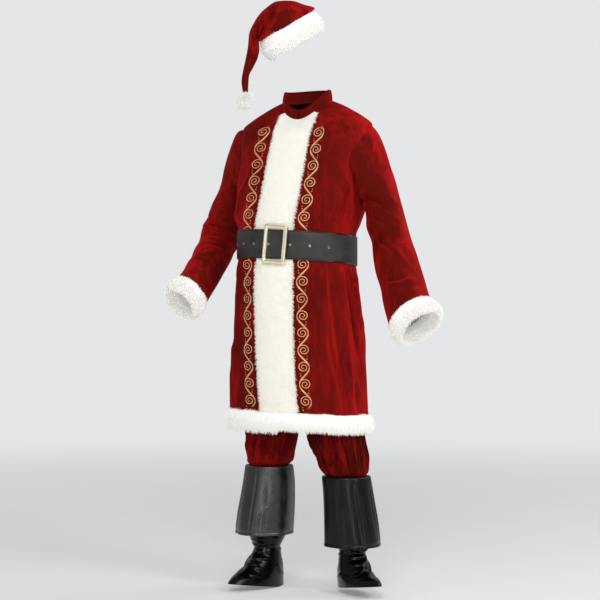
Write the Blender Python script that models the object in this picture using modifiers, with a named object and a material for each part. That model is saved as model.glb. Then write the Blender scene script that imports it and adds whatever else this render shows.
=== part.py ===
import math

import bmesh
import bpy
import numpy as np

# Santa suit: hat, belted coat, trousers and boot tops, hollow as on a wearer.
# Metres. Heights are above the ground the wearer stands on; x is to the wearer's left, the front faces -y.
# Angles go round the body from the centre front (0) by the wearer's left side (90) to the back (180).

NECK_MIDDLE = (0.011, 0.030, 1.500)   # becomes the origin, where the shoulders carry the coat
CLOTH = 0.0020                        # velvet wall
VINYL = 0.0018                        # boot top wall
STRAP = 0.0030                        # belt strap thickness
SEAM = 0.0003                         # clearance between neighbouring pieces

# Coat body, one row a ring.
# Height at the sides, drop at centre front, rise at centre back, half width, front depth, back depth,
# centre x, centre y, sideways shift of the centre front
COAT_RINGS = np.array([
    (0.577, 0.000, 0.000, 0.2160, 0.149, 0.146, -0.006, 0.010, 0.004),
    (0.700, 0.000, 0.000, 0.2120, 0.149, 0.144, -0.006, 0.004, -0.004),
    (0.820, 0.000, 0.000, 0.2050, 0.149, 0.140, -0.005, -0.002, -0.008),
    (0.930, 0.000, 0.000, 0.1965, 0.148, 0.136, -0.005, -0.008, -0.009),
    (0.985, 0.000, 0.000, 0.1915, 0.146, 0.132, -0.004, -0.010, -0.009),
    (1.026, 0.000, 0.000, 0.1845, 0.141, 0.127, -0.004, -0.011, -0.009),
    (1.073, 0.000, 0.000, 0.1845, 0.141, 0.127, -0.004, -0.011, -0.009),
    (1.120, 0.000, 0.000, 0.1845, 0.141, 0.127, -0.004, -0.011, -0.009),
    (1.155, 0.000, 0.000, 0.1950, 0.147, 0.135, -0.002, -0.006, -0.007),
    (1.200, 0.000, 0.000, 0.2055, 0.147, 0.140, 0.002, 0.001, -0.005),
    (1.240, 0.005, 0.000, 0.2090, 0.146, 0.142, 0.005, 0.007, -0.004),
    (1.300, 0.020, 0.000, 0.2110, 0.142, 0.141, 0.007, 0.014, -0.002),
    (1.370, 0.038, 0.002, 0.2130, 0.134, 0.134, 0.009, 0.021, 0.000),
    (1.420, 0.043, 0.008, 0.2140, 0.124, 0.124, 0.011, 0.026, 0.000),
    (1.450, 0.042, 0.014, 0.2110, 0.113, 0.113, 0.011, 0.028, 0.000),
    (1.474, 0.046, 0.016, 0.1820, 0.100, 0.099, 0.011, 0.029, 0.000),
    (1.497, 0.053, 0.014, 0.1430, 0.086, 0.085, 0.011, 0.030, 0.000),
    (1.515, 0.060, 0.010, 0.1080, 0.073, 0.071, 0.011, 0.030, 0.000),
    (1.527, 0.064, 0.006, 0.0780, 0.062, 0.059, 0.011, 0.030, 0.000),
])
COAT_SQUARENESS = 0.035      # how far the rings swell at their four corners
COAT_ROWS = (0.577, 0.635, 0.695, 0.755, 0.815, 0.875, 0.935, 0.985, 1.026, 1.120, 1.160, 1.200)
YOKE_ROWS = (1.474, 1.497, 1.515, 1.527)
FRONT_COLUMNS = 10
BACK_COLUMNS = 18

BELT_HEIGHT = 1.073
BELT_WIDTH = 0.088
BELT_TILT_X = -0.045         # the belt hangs lower towards the wearer's left
BELT_TILT_Y = -0.060         # and lower towards the back
BELT_TILT_REACH = 0.110      # height over which the coat follows the tilt
HEM_TILT_X = -0.020

# Folds of the coat: angle at the top, angle at the bottom, top height, bottom height, half angle, depth.
# A negative depth is a trough.
COAT_FOLDS = np.array([
    (38, 46, 1.026, 0.600, 7, 0.008),
    (52, 58, 1.026, 0.740, 6, -0.009),
    (63, 66, 1.026, 0.660, 6, 0.009),
    (76, 80, 1.026, 0.700, 7, -0.008),
    (97, 94, 1.026, 0.577, 8, 0.007),
    (24, 36, 0.960, 0.640, 7, -0.006),
    (-34, -38, 1.020, 0.620, 8, -0.006),
    (-52, -56, 1.026, 0.577, 8, 0.007),
    (-74, -78, 1.026, 0.640, 8, -0.007),
    (-98, -98, 1.026, 0.577, 9, 0.006),
    (118, 122, 1.026, 0.600, 8, -0.007),
    (139, 143, 1.026, 0.577, 9, 0.008),
    (163, 166, 1.026, 0.640, 8, -0.007),
    (-118, -121, 1.026, 0.577, 8, -0.006),
    (-141, -140, 1.026, 0.577, 9, 0.008),
    (-166, -163, 1.026, 0.680, 8, -0.006),
    (44, 50, 1.300, 1.166, 8, 0.006),
    (62, 68, 1.250, 1.166, 8, -0.005),
    (-46, -50, 1.280, 1.166, 8, 0.006),
    (-64, -70, 1.250, 1.166, 8, -0.004),
    (128, 132, 1.380, 1.166, 10, 0.006),
    (-130, -132, 1.380, 1.166, 10, 0.006),
    (180, 180, 1.300, 1.166, 10, -0.005),
])
FOLD_FADE = 0.045            # height over which a fold dies away at its ends

ARMPIT = 1.240
SHOULDER_TIP = 1.450
ARMHOLE_HALF = 33.0          # degrees cut from the front and from the back at the widest
ARMHOLE_STEPS = 7

# Sleeves: x, y, height of the middle of each ring, half width across the arm, half depth front to back.
# The first ring is the armhole itself.
SLEEVE_LEFT = np.array([
    (0.233, 0.021, 1.318, 0.078, 0.075),
    (0.258, 0.013, 1.252, 0.066, 0.068),
    (0.286, -0.002, 1.185, 0.058, 0.060),
    (0.322, -0.032, 1.100, 0.056, 0.058),
    (0.362, -0.070, 1.005, 0.060, 0.062),
    (0.410, -0.110, 0.891, 0.069, 0.066),
])
SLEEVE_RIGHT = np.array([
    (-0.222, 0.032, 1.333, 0.082, 0.076),
    (-0.247, 0.044, 1.255, 0.066, 0.068),
    (-0.275, 0.052, 1.190, 0.061, 0.062),
    (-0.296, 0.048, 1.135, 0.062, 0.062),
    (-0.302, 0.016, 1.078, 0.056, 0.058),
    (-0.302, -0.045, 1.018, 0.053, 0.055),
    (-0.307, -0.124, 0.949, 0.055, 0.059),
])
CUFF_TILT = {1: math.radians(20.0), -1: math.radians(14.0)}   # the cuff hangs lower on its inner side
SLEEVE_START = (0.080, 0.076)  # half width and half depth at the armhole
SLEEVE_ROWS = 15
SLEEVE_BLEND = 0.34          # share of the sleeve over which the armhole's shape dies away
# Sleeve folds: place along the sleeve, angle round it (0 outer, 90 front), half length, half angle, depth
SLEEVE_FOLDS_LEFT = np.array([
    (0.30, 200, 0.10, 40, -0.007),
    (0.42, 160, 0.05, 50, 0.005),
    (0.52, 120, 0.05, 60, -0.005),
    (0.66, 60, 0.06, 60, 0.005),
    (0.80, 150, 0.06, 60, -0.005),
])
SLEEVE_FOLDS_RIGHT = np.array([
    (0.28, 200, 0.07, 45, -0.006),
    (0.48, 100, 0.035, 60, -0.008),
    (0.56, 110, 0.035, 60, 0.006),
    (0.64, 120, 0.035, 60, -0.006),
    (0.84, 60, 0.05, 60, 0.004),
])

# Fur profiles: distance along the piece from the seam, distance out from the cloth
HEM_FUR = ((0.0, -0.009), (0.0, 0.010), (0.013, 0.020), (0.038, 0.023), (0.058, 0.017),
           (0.068, 0.002), (0.056, -0.010), (0.020, -0.011))
CUFF_FUR = ((0.0, -0.008), (0.0, 0.007), (0.013, 0.012), (0.042, 0.013), (0.066, 0.009),
            (0.078, -0.004), (0.066, -0.018), (0.020, -0.018))
HEM_COLUMNS = 38
PANEL_WIDTH = 0.119          # fur front panel
PANEL_THICKNESS = 0.011
PANEL_UNDER_BELT = 0.005
PANEL_SHARE = 0.62           # most of the coat's half width that half the panel may take
PANEL_EDGE = 0.55            # its thickness at the edges, as a share of the middle's

COLLAR_HEIGHT = 0.032
COLLAR_COLUMNS = 22

BUCKLE_WIDTH = 0.078
BUCKLE_HEIGHT = 0.116
BUCKLE_BAR = 0.0125
BUCKLE_DEPTH = 0.0080
BUCKLE_SEAT = 0.0006          # how far the flat frame reaches into the strap's curve
BUCKLE_EDGE = 0.0022          # rounding of its edges
BUCKLE_LEAN = math.radians(5.6)
BUCKLE_X = 0.011
STRAP_OVERLAP = 15.0         # degrees by which the outer end passes the inner end
STRAP_START = -3.0           # angle of the inner end

# Trousers: height, right spread, left spread, half width, half depth, centre y
LEG_RINGS = np.array([
    (1.046, 0.000, 0.000, 0.1800, 0.1270, -0.010),
    (0.980, 0.028, 0.028, 0.1440, 0.1210, -0.012),
    (0.900, 0.058, 0.058, 0.1160, 0.1190, -0.008),
    (0.840, 0.076, 0.078, 0.1000, 0.1130, -0.002),
    (0.790, 0.090, 0.092, 0.0880, 0.1050, 0.003),
    (0.700, 0.096, 0.099, 0.0830, 0.0960, 0.007),
    (0.580, 0.097, 0.104, 0.0810, 0.0880, 0.010),
    (0.500, 0.098, 0.114, 0.0800, 0.0850, 0.012),
    (0.462, 0.101, 0.132, 0.0800, 0.0830, 0.012),
    (0.430, 0.107, 0.142, 0.0730, 0.0760, 0.012),
    (0.416, 0.110, 0.146, 0.0670, 0.0690, 0.012),
    (0.403, 0.113, 0.1505, 0.0560, 0.0570, 0.012),
    (0.385, 0.115, 0.1523, 0.0525, 0.0535, 0.012),
    (0.320, 0.115, 0.1540, 0.0480, 0.0490, 0.012),
])
LEG_ROWS = (0.985, 0.925, 0.865, 0.815, 0.765, 0.69, 0.62, 0.56, 0.50, 0.460, 0.420, 0.403, 0.385, 0.32)
LEG_COLUMNS = 8
WAISTBAND_WIDTH = 0.036
WAISTBAND = 0.0025           # waistband thickness
# Trouser folds: height, slope (metres a radian), angle from the outer seam to the front, half angle,
# half height, depth
LEG_FOLDS = np.array([
    (0.500, 0.020, 35, 40, 0.020, 0.006),
    (0.462, -0.030, 80, 45, 0.018, 0.007),
    (0.470, 0.030, -60, 45, 0.018, 0.006),
    (0.430, 0.020, 130, 45, 0.016, 0.005),
    (0.440, -0.020, -120, 45, 0.018, 0.006),
    (0.560, 0.050, -20, 35, 0.025, -0.004),
    (0.600, -0.040, 110, 35, 0.030, -0.005),
])

# Boot tops. x and y are the ankle's middle, toe_out the way the toe points in degrees, top the shaft's
# height, knee_x how far the shaft's top stands aside of the ankle, cuff_swing how far the cuff's lower
# edge swings forward, and hem_lift how much higher the cover's lower edge lies.
FEET = {
    "right": {"x": -0.119, "y": 0.012, "toe_out": -13.0, "top": 0.400,
              "knee_x": 0.004, "cuff_swing": 0.022, "hem_lift": 0.0},
    "left": {"x": 0.169, "y": 0.0126, "toe_out": 50.0, "top": 0.376,
             "knee_x": -0.018, "cuff_swing": 0.004, "hem_lift": 0.016},
}
# Height, reach back, reach forward, half width
COVER_RINGS = np.array([
    (0.026, 0.060, 0.182, 0.047),
    (0.060, 0.058, 0.164, 0.048),
    (0.092, 0.053, 0.124, 0.046),
    (0.125, 0.046, 0.078, 0.043),
    (0.158, 0.042, 0.048, 0.041),
    (0.200, 0.048, 0.048, 0.047),
    (0.260, 0.055, 0.055, 0.054),
    (0.330, 0.058, 0.058, 0.057),
    (0.400, 0.061, 0.061, 0.060),
])
COVER_ROWS = (0.026, 0.060, 0.092, 0.125, 0.148, 0.175, 0.200, 0.250, 0.320, 0.398)
COVER_COLUMNS = 18
TOE_RISE = 0.026             # how much higher the lower edge is at the toe than at the heel
TOE_TAPER = 0.22             # how much narrower a ring is at the toe than at the heel
# Slouch wrinkles: height, angle round the ankle (0 toe), half angle, half height, depth
COVER_FOLDS = np.array([
    (0.182, 40, 60, 0.011, 0.004),
    (0.160, -30, 60, 0.010, -0.003),
    (0.140, 20, 50, 0.012, 0.004),
    (0.170, 180, 60, 0.012, 0.004),
    (0.105, -10, 50, 0.012, 0.004),
    (0.075, 30, 50, 0.014, -0.003),
])
# Turned-down cuff of the boot top: distance below the top edge, distance out from the shaft
BOOT_CUFF = ((0.020, 0.0023), (0.006, 0.0027), (-0.002, 0.0066), (-0.003, 0.0100), (0.006, 0.0122),
             (0.070, 0.0165), (0.140, 0.0215), (0.205, 0.0245))
BOOT_CUFF_FOLDS = np.array([
    # angle (0 front), half angle, depth at the lower edge
    (-35, 9, -0.006),
    (10, 14, 0.003),
    (60, 9, -0.005),
    (120, 16, 0.004),
    (200, 14, -0.004),
    (260, 16, 0.004),
])

# Hat. It flops in an upright plane turned FLOP_TURN from straight sideways.
FLOP_TURN = math.radians(26.0)
HAT_MIDDLE = (-0.0335, -0.014, 1.762)  # middle of the band's upper edge
BAND_ROLL = math.radians(-31.0)       # band tilted down on the wearer's right
BAND_PITCH = math.radians(8.0)        # and down at the front
BAND_HALF_WIDTH = 0.0850
BAND_HALF_DEPTH = 0.0910
BAND_FUR = ((0.0, -0.005), (0.0, 0.007), (0.012, 0.014), (0.036, 0.0155), (0.060, 0.011),
            (0.068, 0.001), (0.055, -0.007), (0.018, -0.008))
BAND_COLUMNS = 24
# Crown rings: inner edge right, inner edge up, outer edge right, outer edge up, half depth.
# Measured in the flop plane from the middle of the band's upper edge.
CROWN_RINGS = np.array([
    (-0.0720, -0.0433, 0.0720, 0.0433, 0.0900),
    (-0.0840, -0.0470, 0.0790, 0.0500, 0.0920),
    (-0.0890, -0.0480, 0.0500, 0.0595, 0.0890),
    (-0.0920, -0.0460, 0.0110, 0.0710, 0.0820),
    (-0.0940, -0.0440, -0.0330, 0.0675, 0.0740),
    (-0.0955, -0.0440, -0.0750, 0.0430, 0.0640),
    (-0.0965, -0.0480, -0.1050, 0.0030, 0.0540),
    (-0.0970, -0.0580, -0.1190, -0.0300, 0.0450),
    (-0.0970, -0.0750, -0.1220, -0.0650, 0.0370),
    (-0.0975, -0.1000, -0.1290, -0.1030, 0.0300),
    (-0.1030, -0.1270, -0.1360, -0.1400, 0.0240),
    (-0.1190, -0.1570, -0.1410, -0.1730, 0.0170),
    (-0.1260, -0.2075, -0.1380, -0.2085, 0.0065),
])
CROWN_COLUMNS = 18
CROWN_ROWS = 15
POMPOM_RIGHT = -0.1320
POMPOM_UP = -0.2292
POMPOM_CORE = 0.0210
POMPOM_REACH = 0.0290
POMPOM_BARE = 0.78           # no lock where the crown's tip meets the core (cosine from upright)
POMPOM_LOCKS = 80
LOCK_TIP = 0.0016            # radius of a lock's end


def table(rows, at):
    # Smooth curve through the rows; the first column is the key.
    keys = rows[:, 0]
    order = np.argsort(keys)
    rows = rows[order]
    keys = rows[:, 0]
    at = min(max(at, keys[0]), keys[-1])
    step = np.diff(keys)[:, None]
    secant = np.diff(rows, axis=0) / step
    slope = np.zeros_like(rows)
    slope[0] = secant[0]
    slope[-1] = secant[-1]
    same = secant[1:] * secant[:-1] > 0
    total = secant[1:] + secant[:-1]
    safe = np.where(same, total, 1.0)
    slope[1:-1] = np.where(same, 2.0 * secant[1:] * secant[:-1] / safe, 0.0)
    k = int(min(max(np.searchsorted(keys, at, side="right") - 1, 0), len(keys) - 2))
    span = keys[k + 1] - keys[k]
    t = (at - keys[k]) / span
    value = (1 + 2 * t) * (1 - t) ** 2 * rows[k] + t * t * (3 - 2 * t) * rows[k + 1]
    value += span * t * (1 - t) ** 2 * slope[k] - span * t * t * (1 - t) * slope[k + 1]
    return value[1:]


def curve_through(rows, share):
    # Point on the smooth curve through the rows, by share of the curve's length.
    steps = np.linalg.norm(np.diff(rows[:, :3], axis=0), axis=1)
    keys = np.concatenate([[0.0], np.cumsum(steps)])
    return table(np.column_stack([keys, rows]), share * keys[-1])


def ease(t):
    t = np.clip(t, 0.0, 1.0)
    return t * t * (3 - 2 * t)


def unit(v):
    length = np.linalg.norm(v, axis=-1, keepdims=True)
    return v / np.maximum(length, 1e-9)


def turned(angle, centre):
    # Angle from centre, brought within half a turn.
    return (angle - centre + 180.0) % 360.0 - 180.0


# ---- coat surface ----------------------------------------------------------------------------

def coat_fold(angle, height):
    depth = 0.0
    for top_angle, low_angle, top, low, half, size in COAT_FOLDS:
        share = (height - low) / (top - low)
        centre = low_angle + (top_angle - low_angle) * share
        end = ease((top - height) / FOLD_FADE)
        start = 1.0 if low <= COAT_ROWS[0] else ease((height - low + FOLD_FADE) / FOLD_FADE)
        depth += size * end * start * math.exp(-(turned(angle, centre) / half) ** 2)
    return depth


def coat_point(angle, height):
    # Inner face of the coat cloth at an angle in degrees and a side height.
    drop, rise, half_width, front, back, middle_x, middle_y, shift = table(COAT_RINGS, height)
    s = math.sin(math.radians(angle))
    c = math.cos(math.radians(angle))
    swell = 1.0 + COAT_SQUARENESS * (2 * s * c) ** 2
    fold = coat_fold(angle, height)
    depth = 0.5 * (front + back) + 0.5 * (front - back) * c
    x = middle_x + s * (half_width * swell + fold) + shift * max(c, 0.0) ** 2
    y = middle_y - c * (depth * swell + fold)
    z = height - drop * max(c, 0.0) ** 2 + rise * min(c, 0.0) ** 2
    follow = math.exp(-((height - BELT_HEIGHT) / BELT_TILT_REACH) ** 2)
    z += follow * (BELT_TILT_X * x + BELT_TILT_Y * y)
    z += HEM_TILT_X * x * ease((0.80 - height) / 0.22)
    return np.array((x, y, z))


def coat_normal(angle, height):
    across = coat_point(angle + 1.0, height) - coat_point(angle - 1.0, height)
    up = coat_point(angle, height + 0.004) - coat_point(angle, height - 0.004)
    n = unit(np.cross(across, up))
    away = np.array((math.sin(math.radians(angle)), -math.cos(math.radians(angle)), 0.3))
    return n if np.dot(n, away) > 0 else -n


def panel_reach(height):
    # Angle of the fur panel's edge.
    half_width = table(COAT_RINGS, height)[2]
    return math.degrees(math.asin(min(0.5 * PANEL_WIDTH, PANEL_SHARE * half_width) / half_width))


def front_angles(height, first, last):
    # Column angles of a coat front; two of them lie under the fur panel's middle and edge.
    reach = panel_reach(height)
    return [first, 0.5 * reach] + list(np.linspace(reach, last, FRONT_COLUMNS - 1))


def back_angles(edge):
    return list(np.linspace(edge, 360.0 - edge, BACK_COLUMNS + 1))


def waist_angles():
    # Once round the body at the belt, on the coat's own columns.
    front = front_angles(BELT_HEIGHT, 0.0, 90.0)
    return front[:-1] + back_angles(90.0) + [360.0 - a for a in front[-2:0:-1]]


def armhole_heights():
    turn = np.linspace(0.0, math.pi, ARMHOLE_STEPS + 1)
    return ARMPIT + (SHOULDER_TIP - ARMPIT) * 0.5 * (1 - np.cos(turn))


def armhole_cut(height):
    # Degrees cut away from the side seam on each side.
    share = (height - ARMPIT) / (SHOULDER_TIP - ARMPIT)
    if share <= 0.0 or share >= 1.0:
        return 0.0
    return ARMHOLE_HALF * math.sin(math.pi * share) ** 0.85


def coat_heights():
    return list(COAT_ROWS) + list(armhole_heights()) + list(YOKE_ROWS)


# ---- making solids ---------------------------------------------------------------------------

def material(name, colour, roughness, metallic=0.0):
    made = bpy.data.materials.new(name)
    made.use_nodes = True
    shader = made.node_tree.nodes["Principled BSDF"]
    shader.inputs["Base Color"].default_value = (*colour, 1.0)
    shader.inputs["Roughness"].default_value = roughness
    shader.inputs["Metallic"].default_value = metallic
    return made


def add_piece(name, points, faces, finish):
    # Closed body from points measured from the ground, moved so the neck's middle is the origin.
    moved = np.asarray(points) - np.array(NECK_MIDDLE)
    mesh = bpy.data.meshes.new(name)
    mesh.from_pydata([tuple(p) for p in moved], [], faces)
    shape = bmesh.new()
    shape.from_mesh(mesh)
    bmesh.ops.recalc_face_normals(shape, faces=shape.faces)
    shape.to_mesh(mesh)
    shape.free()
    mesh.shade_smooth()
    mesh.set_sharp_from_angle(angle=math.radians(50))
    piece = bpy.data.objects.new(name, mesh)
    piece.data.materials.append(finish)
    suit.objects.link(piece)
    return piece


def grid_normals(grid, round_columns):
    # Normals of a grid of points; the caller picks the side with the sign.
    if round_columns:
        across = np.roll(grid, -1, axis=1) - np.roll(grid, 1, axis=1)
    else:
        across = np.gradient(grid, axis=1)
    return unit(np.cross(across, np.gradient(grid, axis=0)))


def wall(name, inner, offset, finish, round_columns=False):
    # Cloth wall between the grid of inner points and the same grid moved by offset.
    rows, columns = inner.shape[:2]
    points = np.concatenate([inner.reshape(-1, 3), (inner + offset).reshape(-1, 3)])
    out = rows * columns
    last = columns if round_columns else columns - 1
    faces = []
    for r in range(rows - 1):
        for c in range(last):
            d = (c + 1) % columns
            quad = (r * columns + c, r * columns + d, (r + 1) * columns + d, (r + 1) * columns + c)
            faces.append(tuple(out + k for k in quad))
            faces.append((quad[0], quad[3], quad[2], quad[1]))
    for c in range(last):
        d = (c + 1) % columns
        top = (rows - 1) * columns
        faces.append((d, c, out + c, out + d))
        faces.append((top + c, top + d, out + top + d, out + top + c))
    if not round_columns:
        for r in range(rows - 1):
            a = r * columns
            b = a + columns
            faces.append((a, b, out + b, out + a))
            a += columns - 1
            b += columns - 1
            faces.append((b, a, out + a, out + b))
    return add_piece(name, points, faces, finish)


def swept(name, rings, finish, closed):
    # Solid whose section, a ring of points, is carried from place to place.
    count = len(rings)
    sides = len(rings[0])
    faces = []
    for r in range(count if closed else count - 1):
        q = (r + 1) % count
        for k in range(sides):
            m = (k + 1) % sides
            faces.append((r * sides + k, r * sides + m, q * sides + m, q * sides + k))
    if not closed:
        faces.append(tuple(range(sides))[::-1])
        faces.append(tuple((count - 1) * sides + k for k in range(sides)))
    return add_piece(name, np.concatenate(rings), faces, finish)


# ---- coat ------------------------------------------------------------------------------------

def sleeve_frame(rings, share, start):
    # Middle, sideways and front directions and the two radii at a share of the sleeve's length.
    whole = np.vstack([np.append(start, SLEEVE_START), rings])
    here = curve_through(whole, share)
    ahead = curve_through(whole, min(share + 0.02, 1.0))
    behind = curve_through(whole, max(share - 0.02, 0.0))
    along = unit(ahead[:3] - behind[:3])
    side = np.array((math.copysign(1.0, rings[-1, 0]), 0.0, 0.0))
    front = unit(np.cross(along, side)) * (-1.0 if side[0] > 0 else 1.0)
    if front[1] > 0:
        front = -front
    outer = unit(np.cross(front, along))
    if outer[0] * side[0] < 0:
        outer = -outer
    tilt = CUFF_TILT[int(side[0])] * ease((share - 0.7) / 0.3)
    outer = outer * math.cos(tilt) - along * math.sin(tilt)
    return here[:3], outer, front, here[3], here[4], along


def armhole_loop(side):
    # Armhole edge on the coat's inner face: tip, down the front, armpit, up the back.
    heights = armhole_heights()
    loop = []
    for h in heights[::-1]:
        loop.append(((90.0 - armhole_cut(h)) * side, h))
    for h in heights[1:-1]:
        loop.append(((90.0 + armhole_cut(h)) * side, h))
    return loop


def sleeve_fold(folds, share, turn):
    depth = 0.0
    for place, angle, half_length, half_angle, size in folds:
        near = math.exp(-((share - place) / half_length) ** 2)
        depth += size * near * math.exp(-(turned(turn, angle) / half_angle) ** 2)
    return depth


def sleeve_grid(side):
    # Inner points of a sleeve, first ring on the armhole edge.
    rings = SLEEVE_LEFT if side > 0 else SLEEVE_RIGHT
    folds = SLEEVE_FOLDS_LEFT if side > 0 else SLEEVE_FOLDS_RIGHT
    loop = np.array([coat_point(a, h) for a, h in armhole_loop(side)])
    start = loop.mean(axis=0)
    columns = len(loop)
    grid = np.zeros((SLEEVE_ROWS, columns, 3))
    for r in range(SLEEVE_ROWS):
        share = r / (SLEEVE_ROWS - 1)
        middle, outer, front, across, deep, along = sleeve_frame(rings, share, start)
        keep = 1.0 - ease(share / SLEEVE_BLEND)
        for k in range(columns):
            turn = 360.0 * k / columns
            fold = sleeve_fold(folds, share, turn)
            c = math.cos(math.radians(turn))
            s = math.sin(math.radians(turn))
            tube = middle + outer * c * (across + fold) + front * s * (deep + fold)
            grid[r, k] = tube + keep * (loop[k] + (middle - start) - tube)
    grid[0] = loop
    return grid


def armhole_mitre(side):
    # For each point of the armhole: the direction both walls share there, and the sleeve's clearance.
    grid = sleeve_grid(side)
    loop = armhole_loop(side)
    sleeve_out = grid_normals(grid, True)[0]
    body_out = np.array([coat_normal(a, h) for a, h in loop])
    middle = grid.mean(axis=1)
    if np.sum(sleeve_out * (grid[0] - middle[1])) < 0:
        sleeve_out = -sleeve_out
    shared = unit(sleeve_out + body_out)
    lean = np.clip(np.sum(shared * body_out, axis=1), 0.55, 1.0)
    tangent = np.roll(grid[0], -1, axis=0) - np.roll(grid[0], 1, axis=0)
    clear = unit(np.cross(shared, tangent))
    ahead = np.sum(clear * (grid[1] - grid[0]), axis=1)
    clear = clear * np.where(ahead < 0, -1.0, 1.0)[:, None]
    return shared * (CLOTH / lean)[:, None], clear * SEAM * 1.3


def coat_panel(name, side, part, finish):
    # part is "front" or "back"; the back is one piece, so side is 0 there.
    heights = coat_heights()
    columns = (FRONT_COLUMNS if part == "front" else BACK_COLUMNS) + 1
    inner = np.zeros((len(heights), columns, 3))
    offset = np.zeros_like(inner)
    mitres = {s: armhole_mitre(s)[0] for s in (1, -1)}
    holes = {s: armhole_loop(s) for s in (1, -1)}
    for r, h in enumerate(heights):
        half_gap = math.degrees(0.5 * SEAM / max(table(COAT_RINGS, h)[2], 0.05))
        cut = armhole_cut(h)
        if part == "front":
            angles = front_angles(h, half_gap, 90.0 - max(cut, half_gap))
            if side < 0:
                angles = [-a for a in angles[::-1]]
        else:
            angles = back_angles(90.0 + max(cut, half_gap))
        for c, a in enumerate(angles):
            inner[r, c] = coat_point(a, h)
            offset[r, c] = CLOTH * coat_normal(a, h)
        if not ARMPIT - 1e-6 <= h <= SHOULDER_TIP + 1e-6:
            continue
        if part == "front":
            sides = ((side, columns - 1 if side > 0 else 0),)
        else:
            sides = ((1, 0), (-1, columns - 1))
        for s, c in sides:
            wanted = (90.0 - cut if part == "front" else 90.0 + cut) * s
            gaps = [abs(turned(a, wanted)) + 1000 * abs(g - h) for a, g in holes[s]]
            offset[r, c] = mitres[s][int(np.argmin(gaps))]
    return wall(name, inner, offset, finish)


def sleeve(name, side, finish):
    grid = sleeve_grid(side)
    normals = grid_normals(grid, True)
    middle = grid.mean(axis=1)
    if np.sum(normals[-1] * (grid[-1] - middle[-1])) < 0:
        normals = -normals
    offset = CLOTH * normals
    mitre, clear = armhole_mitre(side)
    offset[0] = mitre
    grid[0] = grid[0] + clear
    return wall(name, grid, offset, finish, round_columns=True)


def cuff_fur(name, side, finish):
    # Fur ring below the sleeve's last ring.
    grid = sleeve_grid(side)
    last = grid[-1]
    middle = last.mean(axis=0)
    quarter = len(last) // 4
    along = unit(np.cross(last[0] - last[2 * quarter], last[quarter] - last[3 * quarter]))
    if np.dot(along, middle - grid[-3].mean(axis=0)) < 0:
        along = -along
    rings = []
    for point in last:
        away = point - middle
        away = unit(away - along * np.dot(away, along))
        rings.append(np.array([point + along * (SEAM * 3.0 + d) + away * (CLOTH * 0.5 + o)
                               for d, o in CUFF_FUR]))
    return swept(name, rings, finish, closed=True)


def collar(name, finish):
    # Low stand collar on the neck edge, open at the centre front.
    turns = np.linspace(4.0, 356.0, COLLAR_COLUMNS)
    inner = np.zeros((3, COLLAR_COLUMNS, 3))
    for c, a in enumerate(turns):
        edge = coat_point(a, COAT_RINGS[-1, 0])
        lean = np.array((math.sin(math.radians(a)), -math.cos(math.radians(a)), 0.0))
        for r, share in enumerate((0.0, 0.5, 1.0)):
            rise = CLOTH * 1.2 + SEAM + share * COLLAR_HEIGHT
            inner[r, c] = edge + np.array((0.0, 0.0, rise)) - lean * 0.004 * share
    normals = grid_normals(inner, False)
    away = inner - inner.mean(axis=(0, 1))
    if np.sum(normals * away) < 0:
        normals = -normals
    return wall(name, inner, CLOTH * normals, finish)


def panel_thickness(height):
    squeeze = ease((abs(height - BELT_HEIGHT) - 0.5 * BELT_WIDTH - 0.004) / 0.030)
    return PANEL_UNDER_BELT + (PANEL_THICKNESS - PANEL_UNDER_BELT) * squeeze


def front_panel(name, finish):
    # Fur strip over the centre front, on the coat's outer face.
    heights = coat_heights()
    shares = (-1.0, -0.5, 0.0, 0.5, 1.0)
    inner = np.zeros((len(heights), len(shares), 3))
    offset = np.zeros_like(inner)
    for r, h in enumerate(heights):
        for c, share in enumerate(shares):
            a = panel_reach(h) * share
            n = coat_normal(a, h)
            round_off = PANEL_EDGE + (1.0 - PANEL_EDGE) * math.sqrt(max(1.0 - share ** 2, 0.0))
            inner[r, c] = coat_point(a, h) + n * (CLOTH + SEAM * 1.8)
            offset[r, c] = n * panel_thickness(h) * round_off
    return wall(name, inner, offset, finish)


def hem_fur(name, finish):
    # Fur strip round the hem; its two ends meet at the centre front.
    turns = np.linspace(0.04, 359.96, HEM_COLUMNS)
    rings = []
    bottom = COAT_ROWS[0]
    for a in turns:
        point = coat_point(a, bottom)
        away = np.array((math.sin(math.radians(a)), -math.cos(math.radians(a)), 0.0))
        rings.append(np.array([point + away * (CLOTH * 0.5 + o) - np.array((0, 0, SEAM * 2.0 + d))
                               for d, o in HEM_FUR]))
    return swept(name, rings, finish, closed=False)


# ---- belt ------------------------------------------------------------------------------------

def belt_point(angle, rise, out):
    # Point out from the coat's cloth, and from the fur where the belt crosses it.
    half_width = table(COAT_RINGS, BELT_HEIGHT)[2]
    x = half_width * math.sin(math.radians(angle))
    over = 0.0
    if math.cos(math.radians(angle)) > 0:
        over = 1.0 - ease((abs(x) - 0.5 * PANEL_WIDTH - 0.004) / 0.045)
    lift = CLOTH + SEAM * 2.5 + over * (PANEL_UNDER_BELT + SEAM * 2.0)
    base = coat_point(angle, BELT_HEIGHT)
    n = coat_normal(angle, BELT_HEIGHT)
    n = unit(np.array((n[0], n[1], 0.0)))
    return base + n * (lift + out) + np.array((0.0, 0.0, rise))


def belt_strap(name, finish):
    # One strip round the waist; its outer end lies on its inner end behind the buckle.
    end = STRAP_START + 360.0 + STRAP_OVERLAP
    rings = []
    turns = [STRAP_START] + waist_angles() + [360.0, 360.0 + 0.5 * panel_reach(BELT_HEIGHT), end]
    for a in turns:
        climb = ease((a - (end - STRAP_OVERLAP - 26.0)) / 24.0)
        low = climb * (STRAP + SEAM * 1.5)
        half = 0.5 * BELT_WIDTH
        rings.append(np.array([belt_point(a % 360.0, z, low + o)
                               for z, o in ((-half, 0.0), (-half, STRAP), (half, STRAP), (half, 0.0))]))
    return swept(name, rings, finish, closed=False)


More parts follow.
